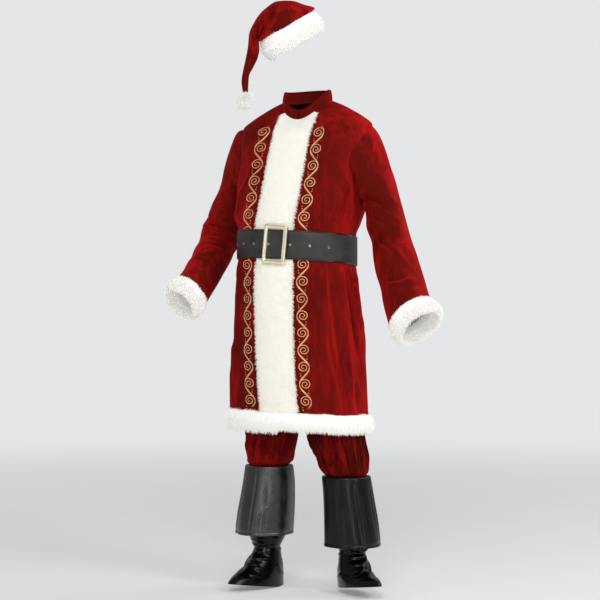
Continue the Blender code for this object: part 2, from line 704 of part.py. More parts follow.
def buckle(name, finish):
    # Upright rectangular frame in front of the strap.
    angle = math.degrees(math.asin(BUCKLE_X / table(COAT_RINGS, BELT_HEIGHT)[2]))
    face = belt_point(angle, 0.0, 2 * STRAP + SEAM * 3.0)
    place = face + np.array((0.0, BUCKLE_SEAT - 0.5 * BUCKLE_DEPTH, 0.0)) - np.array(NECK_MIDDLE)
    bpy.ops.mesh.primitive_cube_add(size=1.0, location=place)
    frame = bpy.context.object
    frame.name = name
    frame.data.name = name
    for v in frame.data.vertices:
        v.co.x *= BUCKLE_WIDTH
        v.co.y *= BUCKLE_DEPTH
        v.co.z *= BUCKLE_HEIGHT
    frame.rotation_euler = (0.0, BUCKLE_LEAN, 0.0)
    bpy.ops.mesh.primitive_cube_add(size=1.0, location=place)
    hole = bpy.context.object
    hole.name = name + "_opening"
    for v in hole.data.vertices:
        v.co.x *= BUCKLE_WIDTH - 2 * BUCKLE_BAR
        v.co.y *= 3 * BUCKLE_DEPTH
        v.co.z *= BUCKLE_HEIGHT - 2 * BUCKLE_BAR
    hole.rotation_euler = frame.rotation_euler
    hole.hide_render = True
    hole.display_type = "WIRE"
    for item, home in ((frame, suit), (hole, cutters)):
        for old in list(item.users_collection):
            old.objects.unlink(item)
        home.objects.link(item)
    frame.data.materials.append(finish)
    cut = frame.modifiers.new("opening", "BOOLEAN")
    cut.operation = "DIFFERENCE"
    cut.solver = "EXACT"
    cut.object = hole
    soften = frame.modifiers.new("edges", "BEVEL")
    soften.width = BUCKLE_EDGE
    soften.segments = 2
    soften.limit_method = "ANGLE"
    frame.data.shade_smooth()
    frame.data.set_sharp_from_angle(angle=math.radians(50))
    return frame


# ---- trousers --------------------------------------------------------------------------------

def leg_fold(side, height, turn):
    depth = 0.0
    for place, slope, angle, half_angle, half_height, size in LEG_FOLDS:
        away = turned(turn, angle * side)
        centre = place + slope * math.radians(away)
        near = math.exp(-((height - centre) / half_height) ** 2)
        depth += size * near * math.exp(-(away / half_angle) ** 2)
    return depth * ease((height - 0.400) / 0.03)


def leg_point(side, height, turn):
    # turn is degrees from the outer seam towards the front; a lower boot top takes the leg's end down.
    foot = FEET["left" if side > 0 else "right"]
    right, left, half_width, half_depth, middle_y = table(LEG_RINGS, height)
    spread = left if side > 0 else right
    fold = leg_fold(side, height, turn)
    height += (foot["top"] - 0.400) * ease((0.56 - height) / 0.10)
    c = math.cos(math.radians(turn))
    s = math.sin(math.radians(turn))
    x = spread + (half_width + fold) * c
    y = middle_y - (half_depth + fold) * s
    return np.array((side * x, y, height))


def leg_reach(side, height):
    # Degrees from the outer seam to the inner one, which is the middle seam above the crotch.
    right, left, half_width, half_depth, middle_y = table(LEG_RINGS, height)
    spread = left if side > 0 else right
    share = (spread - 0.5 * SEAM) / half_width
    if share >= 1.0:
        return 180.0
    return math.degrees(math.acos(-share))


def waist_point(angle, drop, inward):
    base = coat_point(angle, BELT_HEIGHT)
    n = coat_normal(angle, BELT_HEIGHT)
    n = unit(np.array((n[0], n[1], 0.0)))
    return base - n * (SEAM * 1.5 + inward) - np.array((0.0, 0.0, drop))


def waistband(name, finish):
    rings = []
    for a in waist_angles():
        rings.append(np.array([waist_point(a, d, i) for d, i in (
            (-0.5 * WAISTBAND_WIDTH, 0.0), (0.5 * WAISTBAND_WIDTH, 0.0),
            (0.5 * WAISTBAND_WIDTH, WAISTBAND), (-0.5 * WAISTBAND_WIDTH, WAISTBAND))]))
    return swept(name, rings, finish, closed=True)


def trouser_panel(name, side, part, finish):
    # Front or back of one leg, from the waistband to inside the boot top.
    sign = 1.0 if part == "front" else -1.0
    heights = (None,) + LEG_ROWS
    inner = np.zeros((len(heights), LEG_COLUMNS + 1, 3))
    normals = np.zeros_like(inner)
    for r, h in enumerate(heights):
        for c in range(LEG_COLUMNS + 1):
            share = c / LEG_COLUMNS
            if h is None:
                first = 0.05
                last = 89.95
                turn = first + share * (last - first)
                angle = (90.0 - turn) * side if sign > 0 else (90.0 + turn) * side
                inner[r, c] = waist_point(angle, 0.5 * WAISTBAND_WIDTH + SEAM * 1.5, 0.0022)
                n = inner[r, c] - np.array((0.0, -0.01, inner[r, c][2]))
                normals[r, c] = unit(n)
                continue
            reach = leg_reach(side, h)
            first = math.degrees(0.5 * SEAM / 0.08)
            turn = first + share * (reach - first)
            if reach >= 180.0:
                turn = first + share * (180.0 - 2 * first)
            turn *= sign
            inner[r, c] = leg_point(side, h, turn)
            across = leg_point(side, h, turn + 2) - leg_point(side, h, turn - 2)
            up = leg_point(side, h + 0.004, turn) - leg_point(side, h - 0.004, turn)
            n = unit(np.cross(across, up))
            away = np.array((side * math.cos(math.radians(turn)), -math.sin(math.radians(turn)), 0.0))
            n = n if np.dot(n, away) > 0 else -n
            if share == 1.0 and reach < 180.0:
                n = unit(np.array((0.0, n[1], n[2])))
            normals[r, c] = n
    return wall(name, inner, CLOTH * normals, finish)


# ---- boot tops -------------------------------------------------------------------------------

def foot_point(foot, forward, sideways, height):
    turn = math.radians(foot["toe_out"])
    ahead = np.array((math.sin(turn), -math.cos(turn)))
    aside = np.array((math.cos(turn), math.sin(turn)))
    flat = np.array((foot["x"], foot["y"])) + ahead * forward + aside * sideways
    return np.array((flat[0], flat[1], height))


def cover_fold(height, turn):
    depth = 0.0
    for place, angle, half_angle, half_height, size in COVER_FOLDS:
        near = math.exp(-((height - place) / half_height) ** 2)
        depth += size * near * math.exp(-(turned(turn, angle) / half_angle) ** 2)
    return depth


def cover_point(foot, height, turn, out=0.0):
    # turn is degrees round from the toe; heights stretch so the shaft ends at the foot's own top.
    stretch = 1.0 + (foot["top"] / 0.400 - 1.0) * ease((height - 0.15) / 0.25)
    back, front, half_width = table(COVER_RINGS, height)
    c = math.cos(math.radians(turn))
    s = math.sin(math.radians(turn))
    fold = cover_fold(height, turn) + out
    taper = 1.0 - TOE_TAPER * max(c, 0.0) * ease((front - back) / 0.08)
    forward = 0.5 * (front - back) + (0.5 * (front + back) + fold) * c
    sideways = (half_width * taper + fold) * s
    rise = TOE_RISE * max(forward, 0.0) / 0.18 + foot["hem_lift"]
    rise *= ease((0.110 - height) / 0.080)
    point = foot_point(foot, forward, sideways, height * stretch + rise)
    point[0] += foot["knee_x"] * ease((height - 0.15) / 0.25)
    return point


def boot_cover(name, foot, finish):
    turns = np.linspace(0.0, 360.0, COVER_COLUMNS + 1)[:-1]
    grid = np.array([[cover_point(foot, h, t) for t in turns] for h in COVER_ROWS])
    normals = grid_normals(grid, True)
    if np.sum(normals[-1] * (grid[-1] - grid[-1].mean(axis=0))) < 0:
        normals = -normals
    return wall(name, grid, VINYL * normals, finish, round_columns=True)


def boot_cuff(name, foot, finish):
    # Starts against the shaft, turns over at the top and hangs down outside.
    turns = np.linspace(0.0, 360.0, COVER_COLUMNS + 1)[:-1]
    top = COVER_ROWS[-1]
    grid = np.zeros((len(BOOT_CUFF), COVER_COLUMNS, 3))
    for r, (down, out) in enumerate(BOOT_CUFF):
        for c, t in enumerate(turns):
            fold = sum(d * math.exp(-(turned(t, a) / w) ** 2) for a, w, d in BOOT_CUFF_FOLDS)
            fold *= ease(down / 0.205)
            point = cover_point(foot, top, t, out + VINYL + fold)
            swing = foot["cuff_swing"] * ease(down / 0.205)
            moved = foot_point(foot, swing, 0.0, -down) - foot_point(foot, 0.0, 0.0, 0.0)
            moved[0] -= foot["knee_x"] * (1.0 - ease((top - down - 0.15) / 0.25))
            grid[r, c] = point + moved
    normals = grid_normals(grid, True)
    if np.sum(normals[-1] * (grid[-1] - grid[-1].mean(axis=0))) < 0:
        normals = -normals
    return wall(name, grid, VINYL * normals, finish, round_columns=True)


# ---- hat -------------------------------------------------------------------------------------

def hat_axes():
    right = np.array((math.cos(FLOP_TURN), math.sin(FLOP_TURN), 0.0))
    near = np.array((math.sin(FLOP_TURN), -math.cos(FLOP_TURN), 0.0))
    return right, near, np.array((0.0, 0.0, 1.0))


def band_axes():
    # Axes of the tilted band: towards its right, towards its front, and out of its top.
    right, near, up = hat_axes()
    rolled_right = right * math.cos(BAND_ROLL) - up * math.sin(BAND_ROLL)
    rolled_up = up * math.cos(BAND_ROLL) + right * math.sin(BAND_ROLL)
    front = near * math.cos(BAND_PITCH) - rolled_up * math.sin(BAND_PITCH)
    top = rolled_up * math.cos(BAND_PITCH) + near * math.sin(BAND_PITCH)
    return rolled_right, front, top


def band_edge(turn, out):
    # Point on the band's upper edge; turn is degrees from its right towards its front.
    right, front, top = band_axes()
    c = math.cos(math.radians(turn))
    s = math.sin(math.radians(turn))
    return (np.array(HAT_MIDDLE) + right * c * (BAND_HALF_WIDTH + out)
            + front * s * (BAND_HALF_DEPTH + out))


def hat_band(name, finish):
    right, front, top = band_axes()
    rings = []
    for turn in np.linspace(0.0, 360.0, BAND_COLUMNS + 1)[:-1]:
        rings.append(np.array([band_edge(turn, CLOTH * 0.5 + o) - top * (SEAM * 1.5 + d)
                               for d, o in BAND_FUR]))
    return swept(name, rings, finish, closed=True)


def crown_point(share, turn):
    # Ring points run from the outer edge (0) by the near side (90) to the inner edge (180).
    right, near, up = hat_axes()
    middles = CROWN_RINGS[:, :2] * 0.5 + CROWN_RINGS[:, 2:4] * 0.5
    steps = np.linalg.norm(np.diff(middles, axis=0), axis=1)
    spans = np.linalg.norm(np.diff(CROWN_RINGS[:, 2:4], axis=0), axis=1)
    keys = np.concatenate([[0.0], np.cumsum(np.maximum(steps, spans))])
    in_r, in_u, out_r, out_u, deep = table(np.column_stack([keys, CROWN_RINGS]), share * keys[-1])
    c = math.cos(math.radians(turn))
    s = math.sin(math.radians(turn))
    r = 0.5 * (in_r + out_r) + 0.5 * (out_r - in_r) * c
    u = 0.5 * (in_u + out_u) + 0.5 * (out_u - in_u) * c
    return np.array(HAT_MIDDLE) + right * r + up * u + near * s * deep


def hat_crown(name, finish):
    grid = np.zeros((CROWN_ROWS, CROWN_COLUMNS, 3))
    for r in range(CROWN_ROWS):
        share = r / (CROWN_ROWS - 1)
        keep = 1.0 - ease(share / 0.16)
        for c in range(CROWN_COLUMNS):
            turn = 360.0 * c / CROWN_COLUMNS
            point = crown_point(share, turn)
            grid[r, c] = point + keep * (band_edge(turn, 0.0) - crown_point(0.0, turn))
    normals = grid_normals(grid, True)
    if np.sum(normals[0] * (grid[0] - grid[0].mean(axis=0))) < 0:
        normals = -normals
    top = band_axes()[2]
    level = grid[0] - grid[0].mean(axis=0)
    normals[0] = unit(level - np.outer(level @ top, top))
    return wall(name, grid, CLOTH * normals, finish, round_columns=True)


def pompom(name, finish):
    # Fused core with three-sided locks drawn out of it.
    right, near, up = hat_axes()
    middle = np.array(HAT_MIDDLE) + right * POMPOM_RIGHT + up * POMPOM_UP - np.array(NECK_MIDDLE)
    shape = bmesh.new()
    bmesh.ops.create_icosphere(shape, subdivisions=3, radius=POMPOM_CORE)
    shape.faces.ensure_lookup_table()
    chosen = []
    used = set()
    for face in sorted(shape.faces, key=lambda f: (f.index * 7) % 320):
        if len(chosen) == POMPOM_LOCKS:
            break
        if any(v.index in used for v in face.verts):
            continue
        if face.calc_center_median().normalized().z > POMPOM_BARE:
            continue
        used.update(v.index for v in face.verts)
        chosen.append(face)
    for face in chosen:
        tip = face.calc_center_median().normalized() * POMPOM_REACH
        made = bmesh.ops.extrude_discrete_faces(shape, faces=[face])["faces"][0]
        for k, v in enumerate(made.verts):
            turn = 2.0 * math.pi * k / 3.0
            across = tip.orthogonal().normalized()
            other = tip.cross(across).normalized()
            v.co = tip + (across * math.cos(turn) + other * math.sin(turn)) * LOCK_TIP
    mesh = bpy.data.meshes.new(name)
    bmesh.ops.recalc_face_normals(shape, faces=shape.faces)
    shape.to_mesh(mesh)
    shape.free()
    piece = bpy.data.objects.new(name, mesh)
    piece.location = middle
    piece.data.materials.append(finish)
    suit.objects.link(piece)
    return piece


# ---- build -----------------------------------------------------------------------------------

for old in list(bpy.data.objects):
    bpy.data.objects.remove(old, do_unlink=True)

suit = bpy.data.collections.new("santa_suit")
cutters = bpy.data.collections.new("cutters")
bpy.context.scene.collection.children.link(suit)
bpy.context.scene.collection.children.link(cutters)

velvet = material("velvet", (0.30, 0.008, 0.010), 0.75)
fur = material("fur", (0.86, 0.84, 0.80), 0.9)
vinyl = material("vinyl", (0.012, 0.012, 0.013), 0.28)
leather = material("belt_leather", (0.030, 0.030, 0.028), 0.45)
brass = material("brass", (0.72, 0.60, 0.34), 0.25, 1.0)

coat_panel("coat_front_left", 1, "front", velvet)
coat_panel("coat_front_right", -1, "front", velvet)
coat_panel("coat_back", 0, "back", velvet)
collar("coat_collar", velvet)
sleeve("sleeve_left", 1, velvet)
sleeve("sleeve_right", -1, velvet)
cuff_fur("cuff_fur_left", 1, fur)
cuff_fur("cuff_fur_right", -1, fur)
front_panel("fur_front_panel", fur)
hem_fur("fur_hem", fur)
belt_strap("belt_strap", leather)
buckle("belt_buckle", brass)
waistband("trouser_waistband", velvet)
for word, way in (("left", 1), ("right", -1)):
    trouser_panel("trouser_front_" + word, way, "front", velvet)
    trouser_panel("trouser_back_" + word, way, "back", velvet)
    boot_cover("boot_cover_" + word, FEET[word], vinyl)
    boot_cuff("boot_cuff_" + word, FEET[word], vinyl)
hat_crown("hat_crown", velvet)
hat_band("hat_band", fur)
pompom("hat_pompom", fur)
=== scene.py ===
import math

import bpy
import numpy as np
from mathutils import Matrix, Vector, kdtree


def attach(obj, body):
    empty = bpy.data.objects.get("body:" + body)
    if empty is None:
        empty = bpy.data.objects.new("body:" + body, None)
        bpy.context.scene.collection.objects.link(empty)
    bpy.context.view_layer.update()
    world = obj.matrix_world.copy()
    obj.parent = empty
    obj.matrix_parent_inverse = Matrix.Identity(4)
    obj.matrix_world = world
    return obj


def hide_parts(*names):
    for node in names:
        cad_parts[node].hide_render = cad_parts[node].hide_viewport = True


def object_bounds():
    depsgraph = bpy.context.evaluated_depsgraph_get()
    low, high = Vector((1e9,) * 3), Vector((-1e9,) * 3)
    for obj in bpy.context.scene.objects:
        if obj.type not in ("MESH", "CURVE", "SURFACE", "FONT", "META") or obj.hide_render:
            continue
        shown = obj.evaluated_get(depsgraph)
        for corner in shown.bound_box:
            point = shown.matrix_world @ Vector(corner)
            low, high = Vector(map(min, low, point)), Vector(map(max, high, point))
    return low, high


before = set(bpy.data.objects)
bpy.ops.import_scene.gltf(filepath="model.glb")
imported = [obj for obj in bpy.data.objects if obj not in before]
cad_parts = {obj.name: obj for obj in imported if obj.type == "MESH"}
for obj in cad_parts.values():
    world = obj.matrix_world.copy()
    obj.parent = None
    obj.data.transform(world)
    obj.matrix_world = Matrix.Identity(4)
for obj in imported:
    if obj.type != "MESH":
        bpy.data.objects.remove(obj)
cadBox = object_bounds()

# Metres, but rings and creases are listed in millimetres.
# Shapes are worked out from the wearer's ground; x is to the wearer's left, the front faces -y.
# Angles go round the body from the centre front (0) by the wearer's left side (90) to the back (180).
neckMiddle = np.array((0.011, 0.030, 1.500))  # the frame's origin
cloth, vinyl, strap, seam = 0.0020, 0.0018, 0.0030, 0.0003  # walls, and the gap along a seam
upward = np.array((0.0, 0.0, 1.0))


def report(stage):
    print("stage:", stage)


def ease(t):
    t = np.clip(t, 0.0, 1.0)
    return t * t * (3 - 2 * t)


def bell(distance, half):
    return np.exp(-(distance / half) ** 2)


def unit(v):
    return v / np.maximum(np.linalg.norm(v, axis=-1, keepdims=True), 1e-9)


def circle(degrees):
    turn = np.radians(degrees)
    return np.cos(turn), np.sin(turn)


def facing(angle, rise=0.0):
    # Way out of the body at an angle.
    c, s = circle(angle)
    return np.stack([s, -c, np.full(np.shape(c), rise)], axis=-1)


def turned(angle, centre):
    # Angle from centre, brought within half a turn.
    return (angle - centre + 180.0) % 360.0 - 180.0


def tableAt(rows, at):
    # Smooth curve through the rows at one or many keys; the first column is the key.
    rows = np.asarray(rows, dtype=float)
    rows = rows[np.argsort(rows[:, 0])]
    keys = rows[:, 0]
    at = np.clip(np.asarray(at, dtype=float), keys[0], keys[-1])
    secant = np.diff(rows, axis=0) / np.diff(keys)[:, None]
    slope = np.zeros_like(rows)
    slope[0] = secant[0]
    slope[-1] = secant[-1]
    same = secant[1:] * secant[:-1] > 0
    safe = np.where(same, secant[1:] + secant[:-1], 1.0)
    slope[1:-1] = np.where(same, 2.0 * secant[1:] * secant[:-1] / safe, 0.0)
    k = np.clip(np.searchsorted(keys, at, side="right") - 1, 0, len(keys) - 2)
    span = (keys[k + 1] - keys[k])[..., None]
    t = (at[..., None] - keys[k][..., None]) / span
    value = (1 + 2 * t) * (1 - t) ** 2 * rows[k] + t * t * (3 - 2 * t) * rows[k + 1]
    value = value + span * t * (1 - t) ** 2 * slope[k] - span * t * t * (1 - t) * slope[k + 1]
    return np.moveaxis(value[..., 1:], -1, 0)


def curveThrough(rows, share):
    # Point on the smooth curve through the rows, by share of the curve's length.
    steps = np.linalg.norm(np.diff(rows[:, :3], axis=0), axis=1)
    keys = np.concatenate([[0.0], np.cumsum(steps)])
    return np.stack(tableAt(np.column_stack([keys, rows]), share * keys[-1]), axis=-1)


creaseUnits = np.array((1, 1000, 1, 1000, 1000, 1000, 1000))  # creases are listed in degrees and millimetres


def creaseDepth(around, along, perDegree, rows):
    # Soft creases drawn one by one: first angle and place, last angle and place, half width, size, bend.
    # A negative size is a trough; each is steeper on one side, as a fold is.
    around, along = np.broadcast_arrays(np.asarray(around, float), np.asarray(along, float))
    total = np.zeros(around.shape)
    for a0, b0, a1, b1, half, size, bend in np.array(rows) / creaseUnits:
        u = turned(around, 0.5 * (a0 + a1)) * perDegree
        v = along - 0.5 * (b0 + b1)
        du = (a1 - a0) * perDegree
        dv = b1 - b0
        length = math.hypot(du, dv)
        t = (u * du + v * dv) / length ** 2 + 0.5
        side = (u * dv - v * du) / length - bend * 4 * t * (1 - t)
        wide = np.where(side > 0, half * 1.3, half * 0.75)
        taper = np.where((t > 0) & (t < 1), np.sin(math.pi * np.clip(t, 0, 1)) ** 0.7, 0.0)
        total = total + size * taper * np.exp(-np.abs(side / wide) ** (2.0 if size > 0 else 1.35))
    return total


def ripple(points, wave, seed):
    # Gentle uneven swelling from a few crossed waves, about -1 to 1.
    chance = np.random.default_rng(seed)
    total = np.zeros(points.shape[:-1])
    for _ in range(7):
        way = unit(chance.normal(size=3)) * (2 * math.pi / (wave * (0.7 + 0.7 * chance.random())))
        total = total + np.sin(points @ way + chance.random() * 6.28)
    return total / 3.2


def operators(kind):
    # One Math node's operator and its reflected form.
    def plain(self, other):
        return self.paint.node("ShaderNodeMath", {"operation": kind}, {0: self, 1: other})

    def reflected(self, other):
        return self.paint.node("ShaderNodeMath", {"operation": kind}, {0: other, 1: self})

    return plain, reflected


class Wire:
    # A shader value; arithmetic on it adds the nodes.
    def __init__(self, paint, socket):
        self.paint = paint
        self.socket = socket

    __add__, __radd__ = operators("ADD")
    __sub__, __rsub__ = operators("SUBTRACT")
    __mul__, __rmul__ = operators("MULTIPLY")

    def between(self, low, high):
        # Smooth step from low to high.
        return self.paint.node("ShaderNodeMapRange", {"interpolation_type": "SMOOTHSTEP"},
                               {"Value": self, "From Min": low, "From Max": high})


def fourOf(colour):
    return colour if isinstance(colour, Wire) else (*colour, 1.0)


class Paint:
    # One material and its nodes; fixed values go straight on the shader's sockets.
    def __init__(self, name, fixed):
        self.material = bpy.data.materials.new(name)
        self.material.use_nodes = True
        self.tree = self.material.node_tree
        self.shader = self.tree.nodes["Principled BSDF"]
        for key, value in fixed.items():
            self.shader.inputs[key].default_value = value
        self.coords = self.node("ShaderNodeTexCoord", {}, {}, "Object")

    def node(self, kind, settings, inputs, output=0):
        made = self.tree.nodes.new(kind)
        for key, value in settings.items():
            setattr(made, key, value)
        for key, value in inputs.items():
            if isinstance(value, Wire):
                self.tree.links.new(value.socket, made.inputs[key])
            else:
                made.inputs[key].default_value = value
        return Wire(self, made.outputs[output])

    def stretched(self, scale):
        return self.node("ShaderNodeVectorMath", {"operation": "MULTIPLY"}, {0: self.coords, 1: scale})

    def noise(self, scale, detail=3.0, rough=0.55, twist=0.0, stretch=(1, 1, 1)):
        return self.node("ShaderNodeTexNoise", {}, {
            "Vector": self.stretched(stretch), "Scale": scale, "Detail": detail,
            "Roughness": rough, "Distortion": twist})

    def cells(self, scale):
        return self.node("ShaderNodeTexVoronoi", {"feature": "DISTANCE_TO_EDGE"},
                         {"Vector": self.stretched((1, 1, 1)), "Scale": scale})

    def grazing(self, blend):
        # How far the surface turns away from the view; the velvet paints its sheen with it.
        return self.node("ShaderNodeLayerWeight", {}, {"Blend": blend}, "Facing")

    def along(self, way):
        # How far a point lies along a direction, from the neck.
        settings = {"operation": "DOT_PRODUCT"}
        return self.node("ShaderNodeVectorMath", settings, {0: self.coords, 1: way}, "Value")

    def mixed(self, factor, first, second):
        return self.node("ShaderNodeMix", {"data_type": "RGBA", "clamp_factor": True},
                         {0: factor, 6: fourOf(first), 7: fourOf(second)}, 2)

    def bump(self, height, strength, distance):
        return self.node("ShaderNodeBump", {}, {"Height": height, "Strength": strength, "Distance": distance})

    def feed(self, wires):
        for key, wire in wires.items():
            self.tree.links.new(wire.socket, self.shader.inputs[key])
        return self.material


def toned(tone, colour):
    return tuple(a * b for a, b in zip(tone, colour))


def velvetPaint(name, depth, crush=1.0, paintedShading=()):
    # Crushed pile: deep red seen straight on, dark where it is pressed, and a painted sheen that turns it
    # crimson where the surface turns away from the view.
    # Painted shading: ramps of painted light and shade along a way, each given as way, from, to, shift at
    # each end.
    p = Paint(name, {"Specular IOR Level": 0.03, "Sheen Weight": 0.05, "Sheen Roughness": 0.30,
                     "Sheen Tint": (1.0, 0.05, 0.05, 1.0)})
    crushed = p.noise(7.0, 4.0, 0.62, 0.8, (1.0, 1.0, 0.45)).between(0.36, 0.66)
    streaks = p.noise(40.0, 3.0, 0.6, 1.2, (1.0, 1.0, 0.22)).between(0.38, 0.66)
    pile = p.noise(1300.0, 2.0, 0.6)
    # Painted sheen: brighter where the surface turns away from the view.
    lit = p.grazing(0.60) * (0.46 + crushed * 0.36) + 0.22
    lit = lit + ((streaks - 0.5) * 0.16 + (crushed - 0.5) * 0.16) * crush
    # Painted light and shade along each way, for how the light falls.
    for way, start, stop, first, last in paintedShading:
        lit = lit + p.along(way).between(start, stop) * (last - first) + first
    # From the face-on deep red to the crimson of the painted sheen and painted light.
    colour = p.mixed(lit.between(0.07, 0.93), toned((depth,) * 3, (0.122, 0.0050, 0.0028)),
                     toned((depth,) * 3, (0.55, 0.0105, 0.0110)))
    return p.feed({
        "Base Color": p.mixed(pile.between(0.30, 0.62) * 0.35 + 0.65, (0.052, 0.0018, 0.0014), colour),
        "Roughness": 0.66 + streaks * 0.16,
        "Normal": p.bump(pile * 0.30 + streaks * 0.60 + crushed * 0.8, 0.45, 0.0018)})


def furPaint(name, tone, paintedGlow):
    # White plush with faintly cream hollows. It also glows a little: painted light that lifts the shade
    # between the hairs.
    p = Paint(name, {"Specular IOR Level": 0.20, "Sheen Weight": 0.30, "Sheen Roughness": 0.5,
                     "Sheen Tint": (1.0, 0.99, 0.97, 1.0), "Emission Strength": paintedGlow})
    tufts = p.noise(46.0, 3.0, 0.6, 0.4)
    hairs = p.noise(900.0, 2.0, 0.6, 0.0, (1.0, 1.0, 0.35))
    colour = p.mixed(tufts.between(0.30, 0.62) * 0.7 + hairs * 0.3, toned(tone, (0.95, 0.94, 0.915)),
                     toned(tone, (0.97, 0.965, 0.95)))
    return p.feed({"Base Color": colour, "Emission Color": colour, "Roughness": 0.55 + hairs * 0.2,
                   "Normal": p.bump(hairs + tufts * 1.5, 0.35, 0.0012)})


def vinylPaint(name, gloss, tone, wrinkle, shine, dented):
    # Black vinyl: fine grain, soft dents and a few crinkles that catch the light.
    p = Paint(name, {"Specular IOR Level": shine, "Coat Weight": 0.10 * gloss, "Coat Roughness": 0.07})
    grain = p.cells(900.0)
    dents = p.noise(26.0, 3.0, 0.55, 0.5)
    crinkle = p.noise(95.0, 4.0, 0.65, 1.6, (1.0, 1.0, 1.6))
    scuffs = p.noise(210.0, 3.0, 0.7).between(0.60, 0.75)
    return p.feed({
        "Base Color": p.mixed(dents.between(0.35, 0.70), toned((tone,) * 3, (0.0035, 0.0035, 0.0036)),
                              toned((tone,) * 3, (0.0090, 0.0088, 0.0082))),
        "Roughness": (0.42 - 0.28 * gloss) + dents.between(0.3, 0.7) * 0.10 + scuffs * 0.06,
        "Normal": p.bump(grain * 0.25 + dents * dented + crinkle * wrinkle, 0.36, 0.0015)})


def leatherPaint(name):
    # Dark grey belt leather with fine pebbled grain and rubbed patches.
    p = Paint(name, {"Specular IOR Level": 0.50})
    grain = p.cells(1100.0)
    rubbed = p.noise(16.0, 4.0, 0.6, 0.5)
    fine = p.noise(520.0, 3.0, 0.65)
    return p.feed({
        "Base Color": p.mixed(rubbed.between(0.36, 0.66) * 0.85 + fine * 0.15,
                              (0.0100, 0.0100, 0.0094), (0.031, 0.0305, 0.0285)),
        "Roughness": 0.30 + rubbed * 0.10 + fine * 0.05,
        "Normal": p.bump(grain.between(0.0, 0.25) * 0.7 + fine * 0.5 + rubbed * 1.2, 0.30, 0.0010)})


def metalPaint(name, colour, worn, rough):
    # Plated metal with a few dull spots.
    p = Paint(name, {"Metallic": 1.0})
    spots = p.noise(34.0, 3.0, 0.55).between(0.58, 0.82)
    brushed = p.noise(420.0, 2.0, 0.6, 0.0, (1.0, 1.0, 0.15))
    return p.feed({"Base Color": p.mixed(spots * 0.25, colour, worn),
                   "Roughness": rough + spots * 0.12 + brushed * 0.06,
                   "Normal": p.bump(brushed * 0.5 + spots, 0.002, 0.0004)})


def threadPaint(name):
    # Pale gold embroidery thread, its stitches lying across the cord.
    p = Paint(name, {"Metallic": 0.25, "Specular IOR Level": 0.5, "Sheen Weight": 0.3,
                     "Sheen Roughness": 0.4, "Sheen Tint": (1.0, 0.85, 0.6, 1.0)})
    stitches = p.noise(1300.0, 2.0, 0.5, 0.0, (1.0, 1.0, 1.6))
    runs = p.noise(60.0, 2.0, 0.5)
    return p.feed({"Base Color": p.mixed(runs.between(0.35, 0.65) * 0.6 + stitches * 0.4,
                                         (0.62, 0.31, 0.115), (0.93, 0.62, 0.33)),
                   "Roughness": 0.38 + stitches * 0.2,
                   "Normal": p.bump(stitches, 0.6, 0.0006)})


# Painted light and shade on the velvet: the coat darker on the wearer's right and towards the shoulders and
# neck, lighter on the left; the left sleeve darker on its side towards the body and lighter on the upper arm;
# the right sleeve darker, most on its side towards the body.
velvetRed = velvetPaint("velvetRed", 1.0, 1.0, (((1.0, 0.0, 0.0), -0.10, 0.22, -0.13, 0.10),
                                                ((0.0, 0.0, 1.0), -0.11, 0.0, 0.0, -0.16)))
velvetSleeve = {
    1: velvetPaint("velvetSleeveLeft", 1.0, 1.2, (((0.880, 0.429, 0.205), 0.145, 0.215, -0.20, 0.02),
                                                  ((0.0, 0.0, 1.0), -0.27, -0.14, 0.0, 0.17))),
    -1: velvetPaint("velvetSleeveRight", 1.0, 1.2, (((0.829, 0.404, -0.387), -0.145, -0.060, -0.05, -0.17),)),
}
# The trousers: a darker copy of the velvet, painted shade for the shadow under the coat, with stronger
# streaks.
velvetLegShaded = velvetPaint("velvetLegShaded", 0.46, 2.8)
velvetHat = velvetPaint("velvetHat", 1.0, 2.0)
# The fur glows a little, a painted light that lifts the shade between hairs; the skin under the hairs glows
# most.
furWhite = furPaint("furWhite", (0.985, 0.985, 0.975), 0.105)
furRoot = furPaint("furRoot", (0.98, 0.98, 0.98), 0.15)
furPanel = furPaint("furPanel", (0.94, 0.93, 0.875), 0.08)
vinylCover = vinylPaint("vinylCover", 1.0, 0.22, 0.14, 0.17, 0.6)
# The right cuff's copy is painted lighter and the left's darker, for how the light falls on each.
vinylCuff = {"right": vinylPaint("vinylCuffRight", 0.55, 0.7, 0.7, 0.95, 2.4),
             "left": vinylPaint("vinylCuffLeft", 0.50, 0.30, 0.7, 0.26, 2.0)}
beltLeather = leatherPaint("beltLeather")
beltEdge = vinylPaint("beltEdge", 0.9, 0.8, 0.2, 0.4, 0.6)
buckleGold = metalPaint("buckleGold", (0.97, 0.90, 0.66), (0.66, 0.55, 0.32), 0.30)
eyeletSilver = metalPaint("eyeletSilver", (0.62, 0.62, 0.60), (0.36, 0.36, 0.35), 0.26)
goldThread = threadPaint("goldThread")
report("materials")


def addPiece(name, points, faces, material, replaces=True):
    # Mesh from ground points, moved into the frame, smooth, and riding on the only body.
    # A piece takes the place of the CAD node of its name, unless it is trim that the CAD doesn't have.
    mesh = bpy.data.meshes.new(name)
    moved = np.asarray(points, dtype=float).reshape(-1, 3) - neckMiddle
    mesh.from_pydata(moved.tolist(), [], faces if isinstance(faces, list) else faces.tolist())
    mesh.materials.append(material)
    mesh.shade_smooth()
    mesh.set_sharp_from_angle(angle=math.radians(62))
    piece = bpy.data.objects.new(name + "_made", mesh)
    bpy.context.scene.collection.objects.link(piece)
    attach(piece, "root")
    if replaces:
        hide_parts(name)
    return piece


def gridNormals(grid, around=True):
    if around:
        across = np.roll(grid, -1, axis=1) - np.roll(grid, 1, axis=1)
    else:
        across = np.gradient(grid, axis=1)
    return unit(np.cross(across, np.gradient(grid, axis=0)))


